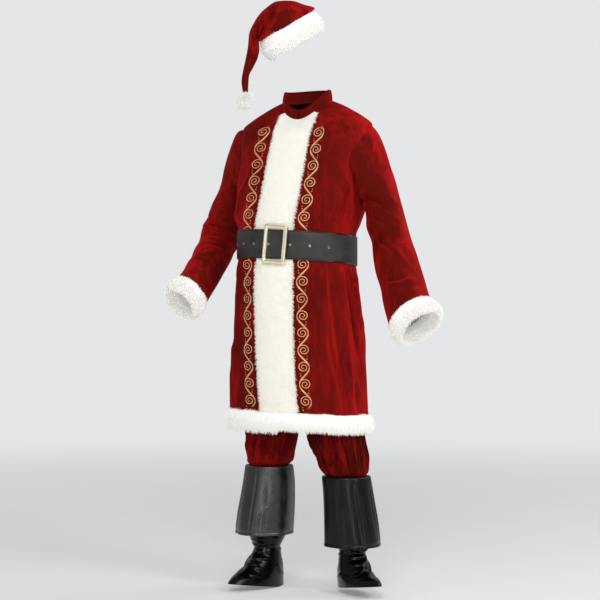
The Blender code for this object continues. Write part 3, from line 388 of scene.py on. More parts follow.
def outward(normals, grid):
    # Normals turned so that they point away from the grid's own axis.
    away = grid - grid.mean(axis=1, keepdims=True)
    return normals if np.sum(normals * away) > 0 else -normals


def quadsOf(rows, columns, around):
    c = np.arange(columns if around else columns - 1)
    r = np.arange(rows - 1)[:, None] * columns
    d = (c + 1) % columns
    return np.stack([r + c, r + d, r + columns + d, r + columns + c], axis=-1).reshape(-1, 4)


def facesIn(points, quads, away):
    # Whether the quads have their backs to the ways out of the piece.
    corner = points[quads[:, 0]]
    return np.sum(np.cross(points[quads[:, 1]] - corner, points[quads[:, 3]] - corner) * away) < 0


def shell(name, inner, offset, material, around=False):
    # Thin wall between a grid of inner points and the same grid moved out, closed along its edges.
    rows, columns = inner.shape[:2]
    total = rows * columns
    points = np.concatenate([inner.reshape(-1, 3), (inner + offset).reshape(-1, 3)])
    quads = quadsOf(rows, columns, around)
    flipped = facesIn(points, quads, offset.reshape(-1, 3)[quads[:, 0]])
    if flipped:
        quads = quads[:, ::-1]
    faces = [quads + total, quads[:, ::-1]]
    c = np.arange(columns)
    r = np.arange(1, rows) * columns
    if around:
        ring = np.append(c, 0)
        loops = [ring, (r[-1] + ring)[::-1]]
    else:
        loops = [np.concatenate([c, r + columns - 1, (r[-1] + c)[-2::-1], r[-2::-1], [0]])]
    for loop in loops:
        a, b = loop[:-1], loop[1:]
        band = np.stack([a, b, b + total, a + total], axis=-1)
        faces.append(band[:, ::-1] if flipped else band)
    return addPiece(name, points, np.concatenate(faces), material)


def swept(name, rings, material, closed, replaces=True):
    # Solid whose section ring is carried from place to place.
    rings = np.asarray(rings)
    count, sides = rings.shape[:2]
    points = rings.reshape(-1, 3)
    quads = quadsOf(count + int(closed), sides, True) % len(points)
    flipped = facesIn(points, quads, points[quads[:, 0]] - rings.mean(axis=1)[quads[:, 0] // sides])
    faces = (quads[:, ::-1] if flipped else quads).tolist()
    if not closed:
        first = list(range(sides))
        last = list(range(len(points) - sides, len(points)))
        faces += [first, last[::-1]] if flipped else [first[::-1], last]
    return addPiece(name, points, faces, material, replaces)


def closedProfile(corners, count):
    # Smooth closed outline through the corners, as many points as asked.
    corners = np.asarray(corners, dtype=float)
    n = len(corners)
    t = np.arange(count) * n / count
    k = np.floor(t).astype(int)
    f = (t - k)[:, None]
    a, b, c, d = (corners[(k + s) % n] for s in (-1, 0, 1, 2))
    return 0.5 * (2 * b + (c - a) * f + (2 * a - 5 * b + 4 * c - d) * f ** 2
                  + (3 * b - a - 3 * c + d) * f ** 3)


def nearestTo(places, points):
    # For each point, which of the places is nearest.
    tree = kdtree.KDTree(len(places))
    for k, place in enumerate(places):
        tree.insert(place, k)
    tree.balance()
    return np.array([tree.find(p)[1] for p in points])


hairHalf = 0.00048  # half a hair's width


def strands(name, roots, normals, comb, settings, material=None):
    # Fur: each hair a thin tapering blade that leans with the comb; neighbours draw together in tufts.
    chance = np.random.default_rng(settings["seed"])
    count = len(roots)
    length = settings["length"] * (0.62 + 0.38 * chance.random(count)) * settings.get("reach", 1.0)
    way = unit(normals * settings["lift"] + comb * settings["lean"]
               + chance.normal(size=(count, 3)) * settings["ruffle"])
    sag = comb * settings["sag"] + np.array((0.0, 0.0, -settings["hang"]))
    steps = np.array((0.0, 0.55, 1.0))
    path = roots[:, None] + length[:, None, None] * (way[:, None] * steps[:, None]
                                                     + sag[:, None] * steps[:, None] ** 2)
    leaders = chance.choice(count, max(1, count // settings["tuft"]), replace=False)
    near = leaders[nearestTo(roots[leaders], roots)]
    drawn = path[near] + (roots - roots[near])[:, None] * (1.0 - 0.8 * steps[:, None])
    share = (np.broadcast_to(settings["draw"], count)[:, None] * steps ** 1.3)[:, :, None]
    path = path * (1 - share) + drawn * share
    aside = unit(np.cross(way, chance.normal(size=(count, 3))))[:, None]
    wide = (hairHalf * np.array((1.0, 0.72)))[:, None]
    points = np.concatenate([path[:, :2] - aside * wide, path[:, :2] + aside * wide, path[:, 2:]], axis=1)
    first = (np.arange(count) * 5)[:, None]
    faces = (first + (0, 2, 3, 1)).tolist() + (first + (1, 3, 4)).tolist()
    return addPiece(name, points, faces, material or furWhite, replaces=False)


def scatter(grid, normals, count, seed, keep):
    # Points spread over a grid surface by area, with their normals and the grid's way across.
    chance = np.random.default_rng(seed)
    a, b, c, d = grid[:-1, :-1], grid[:-1, 1:], grid[1:, 1:], grid[1:, :-1]
    area = np.linalg.norm(np.cross(c - a, d - b), axis=-1)
    area = area * keep[:-1, : area.shape[1]]
    cell = chance.choice(area.size, count, p=(area / area.sum()).ravel())
    r, k = np.unravel_index(cell, area.shape)
    u = chance.random(count)[:, None]
    v = chance.random(count)[:, None]

    def blend(field):
        return (field[r, k] * (1 - u) * (1 - v) + field[r, k + 1] * u * (1 - v)
                + field[r + 1, k + 1] * u * v + field[r + 1, k] * (1 - u) * v)

    return blend(grid), unit(blend(normals)), unit(grid[r, k + 1] - grid[r, k])


coatRings = np.array([
    # height, front drop, back rise, half width, front depth, back depth, middle x, middle y, front shift
    (577, 0, 0, 216, 149, 146, -6, 10, 4), (700, 0, 0, 212, 149, 144, -6, 4, -4),
    (820, 0, 0, 205, 149, 140, -5, -2, -8), (930, 0, 0, 196.5, 148, 136, -5, -8, -9),
    (985, 0, 0, 191.5, 146, 132, -4, -10, -9), (1026, 0, 0, 184.5, 141, 127, -4, -11, -9),
    (1073, 0, 0, 184.5, 141, 127, -4, -11, -9), (1120, 0, 0, 184.5, 141, 127, -4, -11, -9),
    (1155, 0, 0, 195, 147, 135, -2, -6, -7), (1200, 0, 0, 205.5, 147, 140, 2, 1, -5),
    (1240, 5, 0, 209, 146, 142, 5, 7, -4), (1300, 20, 0, 211, 142, 141, 7, 14, -2),
    (1370, 38, 2, 213, 134, 134, 9, 21, 0), (1420, 43, 8, 214, 124, 124, 11, 26, 0),
    (1450, 42, 14, 211, 113, 113, 11, 28, 0), (1474, 46, 16, 182, 100, 99, 11, 29, 0),
    (1497, 53, 14, 143, 86, 85, 11, 30, 0), (1515, 60, 10, 108, 73, 71, 11, 30, 0),
    (1527, 64, 6, 78, 62, 59, 11, 30, 0),
]) / 1000
coatFolds = [
    # top angle, bottom angle, top height, bottom height, half angle, depth
    (38, 46, 1.026, 0.6, 7, 0.008), (52, 58, 1.026, 0.74, 6, -0.009), (63, 66, 1.026, 0.66, 6, 0.009),
    (76, 80, 1.026, 0.7, 7, -0.008), (97, 94, 1.026, 0.577, 8, 0.007), (24, 36, 0.96, 0.64, 7, -0.006),
    (-34, -38, 1.02, 0.62, 8, -0.006), (-52, -56, 1.026, 0.577, 8, 0.007), (-74, -78, 1.026, 0.64, 8, -0.007),
    (-98, -98, 1.026, 0.577, 9, 0.006), (118, 122, 1.026, 0.6, 8, -0.007), (139, 143, 1.026, 0.577, 9, 0.008),
    (163, 166, 1.026, 0.64, 8, -0.007), (-118, -121, 1.026, 0.577, 8, -0.006),
    (-141, -140, 1.026, 0.577, 9, 0.008), (-166, -163, 1.026, 0.68, 8, -0.006),
    (44, 50, 1.3, 1.166, 8, 0.006), (62, 68, 1.25, 1.166, 8, -0.005), (-46, -50, 1.28, 1.166, 8, 0.006),
    (-64, -70, 1.25, 1.166, 8, -0.004), (128, 132, 1.38, 1.166, 10, 0.006),
    (-130, -132, 1.38, 1.166, 10, 0.006), (180, 180, 1.3, 1.166, 10, -0.005),
    (-68, -66, 1.015, 0.8, 24, -0.009), (-66, -64, 0.72, 0.577, 22, 0.004),
    (116, 116, 1.022, 0.88, 20, -0.006),
]
coatCreases = [
    # first angle and height, last angle and height, half width, size, bend
    (66, 1022, 78, 760, 6, 6.2, 6), (74, 1024, 88, 700, 5, -5.9, 4), (82, 1024, 93, 820, 4.5, 6.2, -4),
    (58, 1022, 63, 860, 4.5, -3.9, 3), (89, 1024, 99, 780, 5, -5.2, 0), (31, 900, 43, 660, 8, -6, 12),
    (48, 980, 55, 700, 7, 4, 6), (40, 860, 52, 640, 9, 3.9, 10), (57, 760, 62, 590, 5, -3.6, 0),
    (66, 740, 70, 585, 4.5, 3.6, 2), (72, 700, 76, 582, 4.5, -3.4, 0), (80, 720, 82, 582, 4.5, 3.4, 2),
    (-40, 1020, -45, 780, 7, -3.9, 4), (-60, 1022, -64, 700, 6, 5.2, 4), (-68, 1022, -72, 800, 5, -4.6, 0),
    (-82, 1022, -88, 660, 6, -5.2, -4), (-92, 1022, -104, 740, 6, 5.2, 4), (-36, 760, -42, 600, 9, 3.4, 4),
    (108, 1022, 113, 700, 6, 5.9, 4), (128, 1022, 131, 800, 5.5, -5.2, 0), (150, 1022, 154, 640, 7, 5.2, 6),
    (172, 1022, 174, 760, 6, -4.6, 0), (-108, 1022, -112, 720, 6, -5.2, 4),
    (-129, 1022, -131, 640, 6, 5.2, 0), (-152, 1022, -153, 760, 6, -4.9, 4),
    (-175, 1022, -177, 620, 7, 4.2, -4), (59, 1372, 81, 1196, 6, -9, 4), (50, 1330, 71, 1200, 6.5, 4, 4),
    (-59, 1372, -81, 1200, 6, -7, 4), (48, 1180, 66, 1135, 7, 3.9, 4), (64, 1235, 84, 1140, 8, 5.9, 10),
    (70, 1262, 88, 1180, 6, -4.6, 8), (40, 1330, 64, 1210, 12, -3.4, 12), (30, 1400, 58, 1300, 14, 3.1, 10),
    (-44, 1200, -66, 1138, 7, 4.2, -4), (-60, 1250, -84, 1150, 8, -4.6, -8),
    (-38, 1340, -60, 1240, 12, -3.1, -10), (122, 1420, 150, 1340, 12, -3.9, 10),
    (112, 1270, 140, 1190, 9, 4.6, 8), (-122, 1420, -150, 1345, 12, -3.9, -10),
    (-114, 1270, -138, 1190, 9, 4.6, -8), (150, 1200, 168, 1140, 7, 3.9, 3),
    (-150, 1205, -170, 1140, 7, 3.9, 3), (168, 1430, -168, 1430, 10, -3.1, 6),
]
coat = {
    "squareness": 0.035, "foldFade": 0.045, "hem": 0.577, "neck": 1.527, "beltHeight": 1.073,
    "beltTilt": (-0.045, -0.060), "beltTiltReach": 0.110, "hemTiltX": -0.020, "hemDrop": 0.045,
    "armpit": 1.240, "shoulderTip": 1.450, "armholeHalf": 33.0, "armholeSteps": 46,
    "perDegree": 0.0033, "deepen": 1.25, "frontColumns": 58, "backColumns": 88,
    "seamDip": 0.0011, "seamWidth": 0.0045,
}
panel = {"width": 0.119, "underBelt": 0.005, "share": 0.62, "edge": 0.55, "squeezed": 0.0034, "full": 0.0062}
belt = {"width": 0.088, "bead": 0.0403, "start": -3.0, "overlap": 15.0, "climb": 24.0, "columns": 340,
        "buckleX": 0.011}


def offBelt(height, gap=0.0, over=0.012):
    # 0 under the belt, 1 clear of it.
    return ease((np.abs(height - coat["beltHeight"]) - 0.5 * belt["width"] - gap) / over)


def coatFold(angle, height):
    depth = np.zeros(np.broadcast(angle, height).shape)
    for topAngle, lowAngle, top, low, half, size in coatFolds:
        centre = lowAngle + (topAngle - lowAngle) * ((height - low) / (top - low))
        end = ease((top - height) / coat["foldFade"])
        start = 1.0 if low <= coat["hem"] else ease((height - low + coat["foldFade"]) / coat["foldFade"])
        depth = depth + size * end * start * bell(turned(angle, centre), half)
    return depth


def coatPoint(angle, height, creased=True):
    # Inner face of the coat cloth.
    angle, height = np.broadcast_arrays(np.asarray(angle, float), np.asarray(height, float))
    drop, rise, halfWidth, front, back, middleX, middleY, shift = tableAt(coatRings, height)
    c, s = circle(angle)
    swell = 1.0 + coat["squareness"] * (2 * s * c) ** 2
    fold = coatFold(angle, height)
    if creased:
        creases = creaseDepth(angle, height, coat["perDegree"], coatCreases)
        fold = fold + coat["deepen"] * offBelt(height) * creases
    depth = 0.5 * (front + back) + 0.5 * (front - back) * c
    x = middleX + s * (halfWidth * swell + fold) + shift * np.maximum(c, 0.0) ** 2
    y = middleY - c * (depth * swell + fold)
    z = height - drop * np.maximum(c, 0.0) ** 2 + rise * np.minimum(c, 0.0) ** 2
    follow = bell(height - coat["beltHeight"], coat["beltTiltReach"])
    z = z + follow * (coat["beltTilt"][0] * x + coat["beltTilt"][1] * y)
    dropped = coat["hemTiltX"] * x - coat["hemDrop"] * np.maximum(x - 0.08, 0.0)
    return np.stack([x, y, z + dropped * ease((0.80 - height) / 0.22)], axis=-1)


def coatNormal(angle, height, creased=True):
    across = coatPoint(angle + 0.5, height, creased) - coatPoint(angle - 0.5, height, creased)
    up = coatPoint(angle, height + 0.002, creased) - coatPoint(angle, height - 0.002, creased)
    n = unit(np.cross(across, up))
    away = facing(np.broadcast_to(angle, n.shape[:-1]), 0.3)
    return n * np.where(np.sum(n * away, axis=-1) < 0, -1.0, 1.0)[..., None]


def panelReach(height):
    halfWidth = tableAt(coatRings, height)[2]
    return np.degrees(np.arcsin(np.minimum(0.5 * panel["width"], panel["share"] * halfWidth) / halfWidth))


def armholeCut(height):
    share = np.clip((height - coat["armpit"]) / (coat["shoulderTip"] - coat["armpit"]), 0.0, 1.0)
    return coat["armholeHalf"] * np.sin(math.pi * share) ** 0.85


armholeSpread = 0.5 * (1 - np.cos(np.linspace(0.0, math.pi, coat["armholeSteps"] + 1)))
armholeHeights = coat["armpit"] + (coat["shoulderTip"] - coat["armpit"]) * armholeSpread
coatHeights = np.concatenate([
    np.linspace(0.577, 1.022, 100), np.linspace(1.026, 1.120, 7), np.linspace(1.124, 1.235, 24),
    armholeHeights, np.linspace(1.454, 1.527, 15)])


def coatWall(name, side):
    # A coat front on either side or the whole back, with the edges rolled in a little at its seams.
    h = coatHeights[:, None]
    radius = tableAt(coatRings, h)[2]
    halfGap = np.degrees(0.5 * seam / np.maximum(radius, 0.05))
    cut = np.maximum(armholeCut(h), halfGap)
    share = np.linspace(0.0, 1.0, coat["frontColumns" if side else "backColumns"] + 1)[None]
    if side:
        angle = (halfGap + (90.0 - cut - halfGap) * share) * side
    else:
        angle = 90.0 + cut + (180.0 - 2 * cut) * share
    normal = coatNormal(angle, h)
    fromSide = np.radians(np.abs(np.abs(turned(angle, 0.0)) - 90.0) - armholeCut(h)) * radius
    dip = coat["seamDip"] * bell(fromSide, coat["seamWidth"])
    inner = coatPoint(angle, h) - normal * (dip * offBelt(h))[..., None]
    return shell(name, inner, cloth * normal, velvetRed)


coatLeft = coatWall("coat_front_left", 1)
coatRight = coatWall("coat_front_right", -1)
coatBack = coatWall("coat_back", 0)
report("coat")

sleeves = {
    1: {
        "name": "sleeve_left", "cuffTilt": math.radians(20.0),
        "rings": np.array([
            # x, y, z of the middle, half width across the arm, half depth
            (231, 21, 1318, 77, 75), (253, 13, 1252, 63, 67), (281, -2, 1185, 55, 60),
            (315.5, -32, 1100, 57.5, 59), (356, -70, 1005, 64.5, 63), (412.6, -114.9, 877, 71.5, 66),
        ]) / 1000,
        "folds": [
            # share of the length, angle, half length, half angle, depth
            (0.3, 200, 0.1, 40, -0.007), (0.1, 140, 0.06, 30, -0.006), (0.42, 160, 0.05, 50, 0.005),
            (0.52, 120, 0.05, 60, -0.005), (0.66, 60, 0.06, 60, 0.005), (0.8, 150, 0.06, 60, -0.005),
        ],
        "creases": [
            # first angle and place along, last angle and place, half width, size, bend
            (155, 45, 10, 165, 7.8, 5.8, 10), (158, 70, 20, 190, 6.2, -6, 10),
            (160, 100, 30, 215, 7.2, 4.8, 8), (158, 135, 40, 250, 6.2, -4.6, 6),
            (30, 10, -10, 130, 7.5, 3.6, -4), (150, 200, 70, 330, 7.5, 4.6, 6),
            (130, 210, 50, 350, 6.2, -4.4, 6), (100, 230, 30, 380, 7, 4, 6),
            (150, 330, 60, 400, 6.2, -4.2, 10), (140, 365, 30, 405, 6.8, 4.4, 12),
            (110, 395, 20, 425, 6, -3.6, 8), (250, 60, 330, 140, 8, -5.2, 8),
            (230, 190, 320, 235, 6.5, 6.1, 6), (210, 250, 300, 290, 6.5, -5.8, -6),
            (240, 330, 270, 440, 8, 5.2, 6),
        ],
        "head": ((0.12, 100, 0.06, 50, 0.004),),
    },
    -1: {
        "name": "sleeve_right", "cuffTilt": math.radians(14.0),
        "rings": np.array([
            (-222, 32, 1333, 82, 76), (-247, 44, 1255, 66, 68), (-275, 52, 1190, 61, 62),
            (-296, 48, 1135, 62, 62), (-302, 16, 1078, 56, 58), (-302, -45, 1018, 53, 55),
            (-307.4, -131.6, 942.4, 55, 59),
        ]) / 1000,
        "folds": [
            (0.28, 200, 0.07, 45, -0.006), (0.44, 30, 0.06, 60, -0.005), (0.47, 95, 0.03, 70, -0.005),
            (0.54, 100, 0.03, 70, 0.004), (0.61, 130, 0.03, 60, -0.005), (0.7, 40, 0.06, 60, 0.005),
            (0.84, 60, 0.05, 60, 0.004),
        ],
        "creases": [
            (150, 20, 70, 100, 8, 5.2, 10), (130, 70, 50, 140, 8, -4.9, 8), (160, 118, 40, 150, 5.5, 5.2, 5),
            (190, 110, 100, 190, 7, 5.8, -8), (175, 238, 5, 192, 5.2, -6.6, 3),
            (185, 250, 15, 212, 6, 5.6, 4), (190, 262, 35, 238, 5.2, -6, 4), (185, 276, 60, 282, 5.8, 5, 4),
            (180, 290, 80, 318, 5.2, -5, 4), (170, 290, 110, 370, 6, -4.6, 6), (150, 318, 60, 372, 6.6, 4, 6),
            (90, 330, 60, 430, 7.5, 4.6, 6), (130, 372, 40, 392, 5, -4.8, 4),
            (140, 350, 110, 440, 6.5, -4.3, -4), (250, 60, 330, 130, 8, -5.2, 8),
            (220, 200, 310, 240, 6.5, 5.8, 6), (210, 270, 300, 300, 6.5, -5.5, -6),
        ],
        "head": ((0.035, 22, 0.055, 75, 0.009), (0.26, 26, 0.07, 70, -0.009), (0.47, 26, 0.06, 60, 0.004)),
    },
}
sleeve = {"start": (0.080, 0.076), "blend": 0.34, "rows": 136, "perDegree": 0.00105, "length": 0.46,
          "deepen": 1.35, "ahead": 0.02}


def armholeLoop(side):
    # Angles and heights of the armhole: tip, down the front, armpit, up the back.
    down = armholeHeights[::-1]
    up = armholeHeights[1:-1]
    angle = np.concatenate([90.0 - armholeCut(down), 90.0 + armholeCut(up)]) * side
    return angle, np.concatenate([down, up])


def swelling(share, turn, rows):
    # Soft humps and hollows on a tube: place, angle, half length, half angle, size.
    return sum(size * bell(share - place, halfLength)[:, None] * bell(turned(turn, at), halfAngle)[None]
               for place, at, halfLength, halfAngle, size in rows)


def sleeveGrid(side):
    # Inner points, the first ring on the armhole's edge.
    info = sleeves[side]
    angle, height = armholeLoop(side)
    loop = coatPoint(angle, height)
    start = loop.mean(axis=0)
    whole = np.vstack([np.append(start, sleeve["start"]), info["rings"]])
    share = np.linspace(0.0, 1.0, sleeve["rows"])
    here = curveThrough(whole, share)[:, None]
    ahead = curveThrough(whole, np.minimum(share + sleeve["ahead"], 1.0))
    behind = curveThrough(whole, np.maximum(share - sleeve["ahead"], 0.0))
    along = unit(ahead[:, :3] - behind[:, :3])
    front = unit(np.cross(along, np.array((float(side), 0.0, 0.0))))
    front = front * np.where(front[:, 1:2] > 0, -1.0, 1.0)
    outer = unit(np.cross(front, along))
    outer = outer * np.where(outer[:, :1] * side < 0, -1.0, 1.0)
    tilt = (info["cuffTilt"] * ease((share - 0.7) / 0.3))[:, None]
    outer = outer * np.cos(tilt) - along * np.sin(tilt)
    turn = 360.0 * np.arange(len(angle)) / len(angle)
    fold = swelling(share, turn, info["folds"])
    fold = fold + sleeve["deepen"] * ease((1.0 - share) / 0.04)[:, None] * creaseDepth(
        turn[None], share[:, None] * sleeve["length"], sleeve["perDegree"], info["creases"])
    c, s = circle(turn[None, :, None])
    across = outer[:, None] * c
    forward = front[:, None] * s
    fold = fold[..., None]
    tube = here[..., :3] + across * (here[..., 3:4] + fold) + forward * (here[..., 4:5] + fold)
    keep = (1.0 - ease(share / sleeve["blend"]))[:, None, None]
    grid = tube + keep * (loop[None] + (here[..., :3] - start) - tube)
    head = swelling(share, turn, info["head"]) * ease(share / 0.04)[:, None]
    grid = grid + (across + forward) * head[..., None]
    grid[0] = loop
    return grid


def sleeveWall(side):
    info = sleeves[side]
    grid = sleeveGrid(side)
    normals = outward(gridNormals(grid), grid)
    offset = cloth * normals
    shared = unit(normals[0] + coatNormal(*armholeLoop(side)))
    offset[0] = shared * cloth
    tangent = np.roll(grid[0], -1, axis=0) - np.roll(grid[0], 1, axis=0)
    clear = unit(np.cross(shared, tangent))
    clear = clear * np.where(np.sum(clear * (grid[1] - grid[0]), axis=1) < 0, -1.0, 1.0)[:, None]
    grid[0] = grid[0] + clear * seam - shared * coat["seamDip"]
    return shell(info["name"], grid, offset, velvetSleeve[side], around=True)


sleevePieces = {side: sleeveWall(side) for side in (1, -1)}
report("sleeves")

collar = {"height": 0.032, "rows": 9, "columns": 120, "first": 1.6, "lean": 0.004, "tuck": 0.0040}
turns = np.linspace(collar["first"], 360.0 - collar["first"], collar["columns"])
shares = np.linspace(0.0, 1.0, collar["rows"])
rolled = 0.0016 * bell(1 - shares, 0.12) + 0.0010 * bell(shares, 0.12)
collarUp = np.concatenate([(-collar["tuck"], -0.0016, 0.0008), cloth + shares * collar["height"]])
collarIn = np.concatenate([(cloth + seam * 1.5,) * 3, collar["lean"] * shares + rolled])
collarGrid = coatPoint(turns, coat["neck"])[None] + upward * collarUp[:, None, None] \
    - facing(turns)[None] * collarIn[:, None, None]
collarNormals = outward(gridNormals(collarGrid, False), collarGrid)
collarPiece = shell("coat_collar", collarGrid, cloth * collarNormals, velvetRed)

# Kinds of fur: hairs, length, lift off the skin, lean along the comb, and so on.
furFell = {
    "panel": {"count": 28000, "length": 0.0068, "lift": 0.42, "lean": 1.0, "ruffle": 0.20,
              "sag": 0.16, "hang": 0.08, "tuft": 12, "seed": 3},
    "hem": {"count": 33000, "length": 0.0165, "lift": 0.75, "lean": 0.75, "ruffle": 0.30,
            "sag": 0.22, "hang": 0.16, "tuft": 15, "draw": 0.48, "seed": 5, "fringe": 0.22},
    "cuff": {"count": 12000, "length": 0.0160, "lift": 0.80, "lean": 0.62, "ruffle": 0.30,
             "sag": 0.18, "hang": 0.12, "tuft": 11, "draw": 0.28, "seed": 7, "fringe": 0.20},
    "band": {"count": 17000, "length": 0.0155, "lift": 0.80, "lean": 0.55, "ruffle": 0.32,
             "sag": 0.15, "hang": 0.12, "tuft": 11, "draw": 0.22, "seed": 11, "fringe": 0.15},
    "pompom": {"count": 8000, "length": 0.0200, "lift": 1.0, "lean": 0.10, "ruffle": 0.30,
               "sag": 0.05, "hang": 0.22, "tuft": 10, "draw": 0.40, "seed": 13},
}
furRing = {
    # distance along from the seam, distance out from the cloth; the skin lies inside the hairs' reach
    "hem": ((0.0, -0.006), (0.002, 0.006), (0.013, 0.012), (0.030, 0.013), (0.040, 0.008),
            (0.044, 0.000), (0.038, -0.006), (0.018, -0.007)),
    "cuff": ((0.001, -0.005), (0.003, 0.001), (0.012, 0.004), (0.031, 0.005), (0.043, 0.002),
             (0.048, -0.005), (0.041, -0.010), (0.015, -0.009)),
    "band": ((0.0, -0.004), (0.002, 0.002), (0.014, 0.006), (0.034, 0.0065), (0.050, 0.003),
             (0.056, -0.001), (0.048, -0.005), (0.018, -0.006)),
    "sides": 24, "lumps": 0.0012, "lumpSize": 0.055,
}


def furOnEdge(name, edge, away, along, key, closed, seed):
    # Ring of fur skin on a garment's edge, and its hairs: combed along the piece, few against the cloth.
    outline = closedProfile(furRing[key], furRing["sides"])
    grid = edge[:, None] + along[:, None] * outline[None, :, :1] + away[:, None] * outline[None, :, 1:]
    centre = grid.mean(axis=1, keepdims=True)
    lumps = furRing["lumps"] * ripple(grid, furRing["lumpSize"], seed)
    grid = grid + unit(grid - centre) * lumps[..., None]
    piece = swept(name, grid, furRoot, closed)
    normals = unit(grid - centre)
    info = dict(furFell[key])
    out = np.sum(normals * away[:, None], axis=-1)
    down = np.sum(normals * along[:, None], axis=-1)
    keep = np.clip(0.75 + out, 0.12, 1.0) * np.where(down < -0.8, 0.5, 1.0) + 0.8 * np.clip(down, 0, 1)
    wrapped = [np.concatenate([field, field[:, :1]], axis=1) for field in (grid, normals, keep)]
    if closed:
        wrapped = [np.concatenate([field, field[:1]]) for field in wrapped]
    roots, n, _ = scatter(wrapped[0], wrapped[1], info["count"], info["seed"], wrapped[2])
    near = nearestTo(grid.mean(axis=1), roots)
    comb = along[near]
    low = np.clip(np.sum(n * comb, axis=1), 0.0, 1.0)
    back = np.clip(-np.sum(n * comb, axis=1), 0.0, 1.0)
    faced = np.sum(n * away[near], axis=1)
    info["reach"] = (1.0 + info["fringe"] * low ** 2) * (1.0 - 0.55 * back) \
        * (0.38 + 0.62 * ease((faced + 0.85) / 0.8))
    info["draw"] = np.clip(info["draw"] + 0.3 * low, 0.0, 0.92)
    return piece, strands(name + "_hairs", roots, n, comb * (1.0 - 1.5 * back)[:, None], info)


hemSeam = 0.04  # degrees either side of the centre front
hemTurns = np.linspace(hemSeam, 360.0 - hemSeam, 260)
hemAway = facing(hemTurns)
hemEdge = coatPoint(hemTurns, coat["hem"]) + hemAway * cloth * 0.5 - upward * (seam * 2)
hemDown = np.tile(-upward, (len(hemTurns), 1))
hemPiece, hemHairs = furOnEdge("fur_hem", hemEdge, hemAway, hemDown, "hem", False, 21)
report("hem fur")


def cuffPieces(side, word):
    grid = sleeveGrid(side)
    last = grid[-1]
    middle = last.mean(axis=0)
    quarter = len(last) // 4
    along = unit(np.cross(last[0] - last[2 * quarter], last[quarter] - last[3 * quarter]))
    if np.dot(along, middle - grid[-6].mean(axis=0)) < 0:
        along = -along
    away = last - middle
    away = unit(away - (away @ along)[:, None] * along)
    ways = np.tile(along, (len(last), 1))
    edge = last + ways * seam * 3 + away * cloth * 0.5
    return furOnEdge("cuff_fur_" + word, edge, away, ways, "cuff", True, 23 + side)


cuffLeft, cuffLeftHairs = cuffPieces(1, "left")
cuffRight, cuffRightHairs = cuffPieces(-1, "right")
report("cuffs")


panelShares = np.linspace(-1.0, 1.0, 25)
panelHeights = coatHeights[:, None]
panelAngles = panelReach(panelHeights) * panelShares
panelNormals = coatNormal(panelAngles, panelHeights)
panelInner = coatPoint(panelAngles, panelHeights) + panelNormals * (cloth + seam * 1.8)
rounded = panel["edge"] + (1 - panel["edge"]) * np.sqrt(np.maximum(1 - panelShares ** 2, 0.0))
panelThick = panel["squeezed"] + (panel["full"] - panel["squeezed"]) * offBelt(panelHeights, 0.004, 0.030)
panelThick = panelThick * rounded
panelThick = panelThick * (1 + 0.06 * ripple(panelInner, 0.060, 31) * offBelt(panelHeights, 0.006, 0.02))
panelOffset = panelNormals * panelThick[..., None]
panelPiece = shell("fur_front_panel", panelInner, panelOffset, furPanel)
panelOut = panelInner + panelOffset
keepPanel = offBelt(panelHeights + 0.002, 0.003, 0.006) * (1 + 1.2 * (np.abs(panelShares) > 0.85))
roots, outWay, acrossWay = scatter(panelOut, panelNormals, furFell["panel"]["count"], 41, keepPanel)
middleX = np.interp(roots[:, 2], panelOut[:, 12, 2], panelOut[:, 12, 0])
sideways = np.clip((roots[:, 0] - middleX) / (0.5 * panel["width"]), -1.0, 1.0)
combPanel = unit(-upward * (1.0 - 0.55 * np.abs(sideways)[:, None] ** 4)
                 + acrossWay * (np.sign(sideways) * np.abs(sideways) ** 3 * 0.9)[:, None])
nearEdge = np.abs(sideways) ** 5
panelFell = {**furFell["panel"], "reach": 0.90 + 0.75 * nearEdge, "draw": 0.04 + 0.60 * nearEdge}
panelHairs = strands("fur_front_panel_hairs", roots, outWay, combPanel, panelFell, furPanel)
report("front fur")

waistHalf = float(tableAt(coatRings, coat["beltHeight"])[2])  # coat's half width under the belt


def aroundWaist(angle, rise, out):
    # Point level with the belt's middle line plus a rise, straight out from the coat cloth's inner face.
    way = coatNormal(angle, coat["beltHeight"], False)
    way[..., 2] = 0.0
    base = coatPoint(angle, coat["beltHeight"], False)
    return base + unit(way) * np.asarray(out)[..., None] + upward * np.asarray(rise)[..., None]


def beltPoint(angle, rise=0.0, out=0.0):
    # Point out from the coat's cloth, and from the fur where the belt crosses it.
    c, s = circle(angle)
    beyond = (np.abs(waistHalf * s) - 0.5 * panel["width"] - 0.004) / 0.045
    over = np.where(c > 0, 1.0 - ease(beyond), 0.0)
    lift = cloth + seam * 2.5 + over * (panel["underBelt"] + seam * 2.0)
    return aroundWaist(angle, rise, lift + out)


beltSection = np.array([
    # rise and distance out: a flat strip with a rolled bead along each edge
    (-0.0436, 0.0002), (-0.044, 0.0008), (-0.044, 0.0022), (-0.0434, 0.0031), (-0.042, 0.0035),
    (-0.0408, 0.0034), (-0.0402, 0.0026), (-0.0394, 0.0029), (-0.03, 0.0031), (0.0, 0.0032), (0.03, 0.0031),
    (0.0394, 0.0029), (0.0402, 0.0026), (0.0408, 0.0034), (0.042, 0.0035), (0.0434, 0.0031), (0.044, 0.0022),
    (0.044, 0.0008), (0.0436, 0.0002), (0.02, 0.0), (-0.02, 0.0),
])
beltEnd = belt["start"] + 360.0 + belt["overlap"]
beltTurns = np.linspace(belt["start"], beltEnd, belt["columns"])


def strapClimb(turn):
    # The outer end climbs over the inner one.
    start = beltEnd - belt["overlap"] - belt["climb"] - 2.0
    return ease((turn - start) / belt["climb"]) * (strap + seam * 1.5)


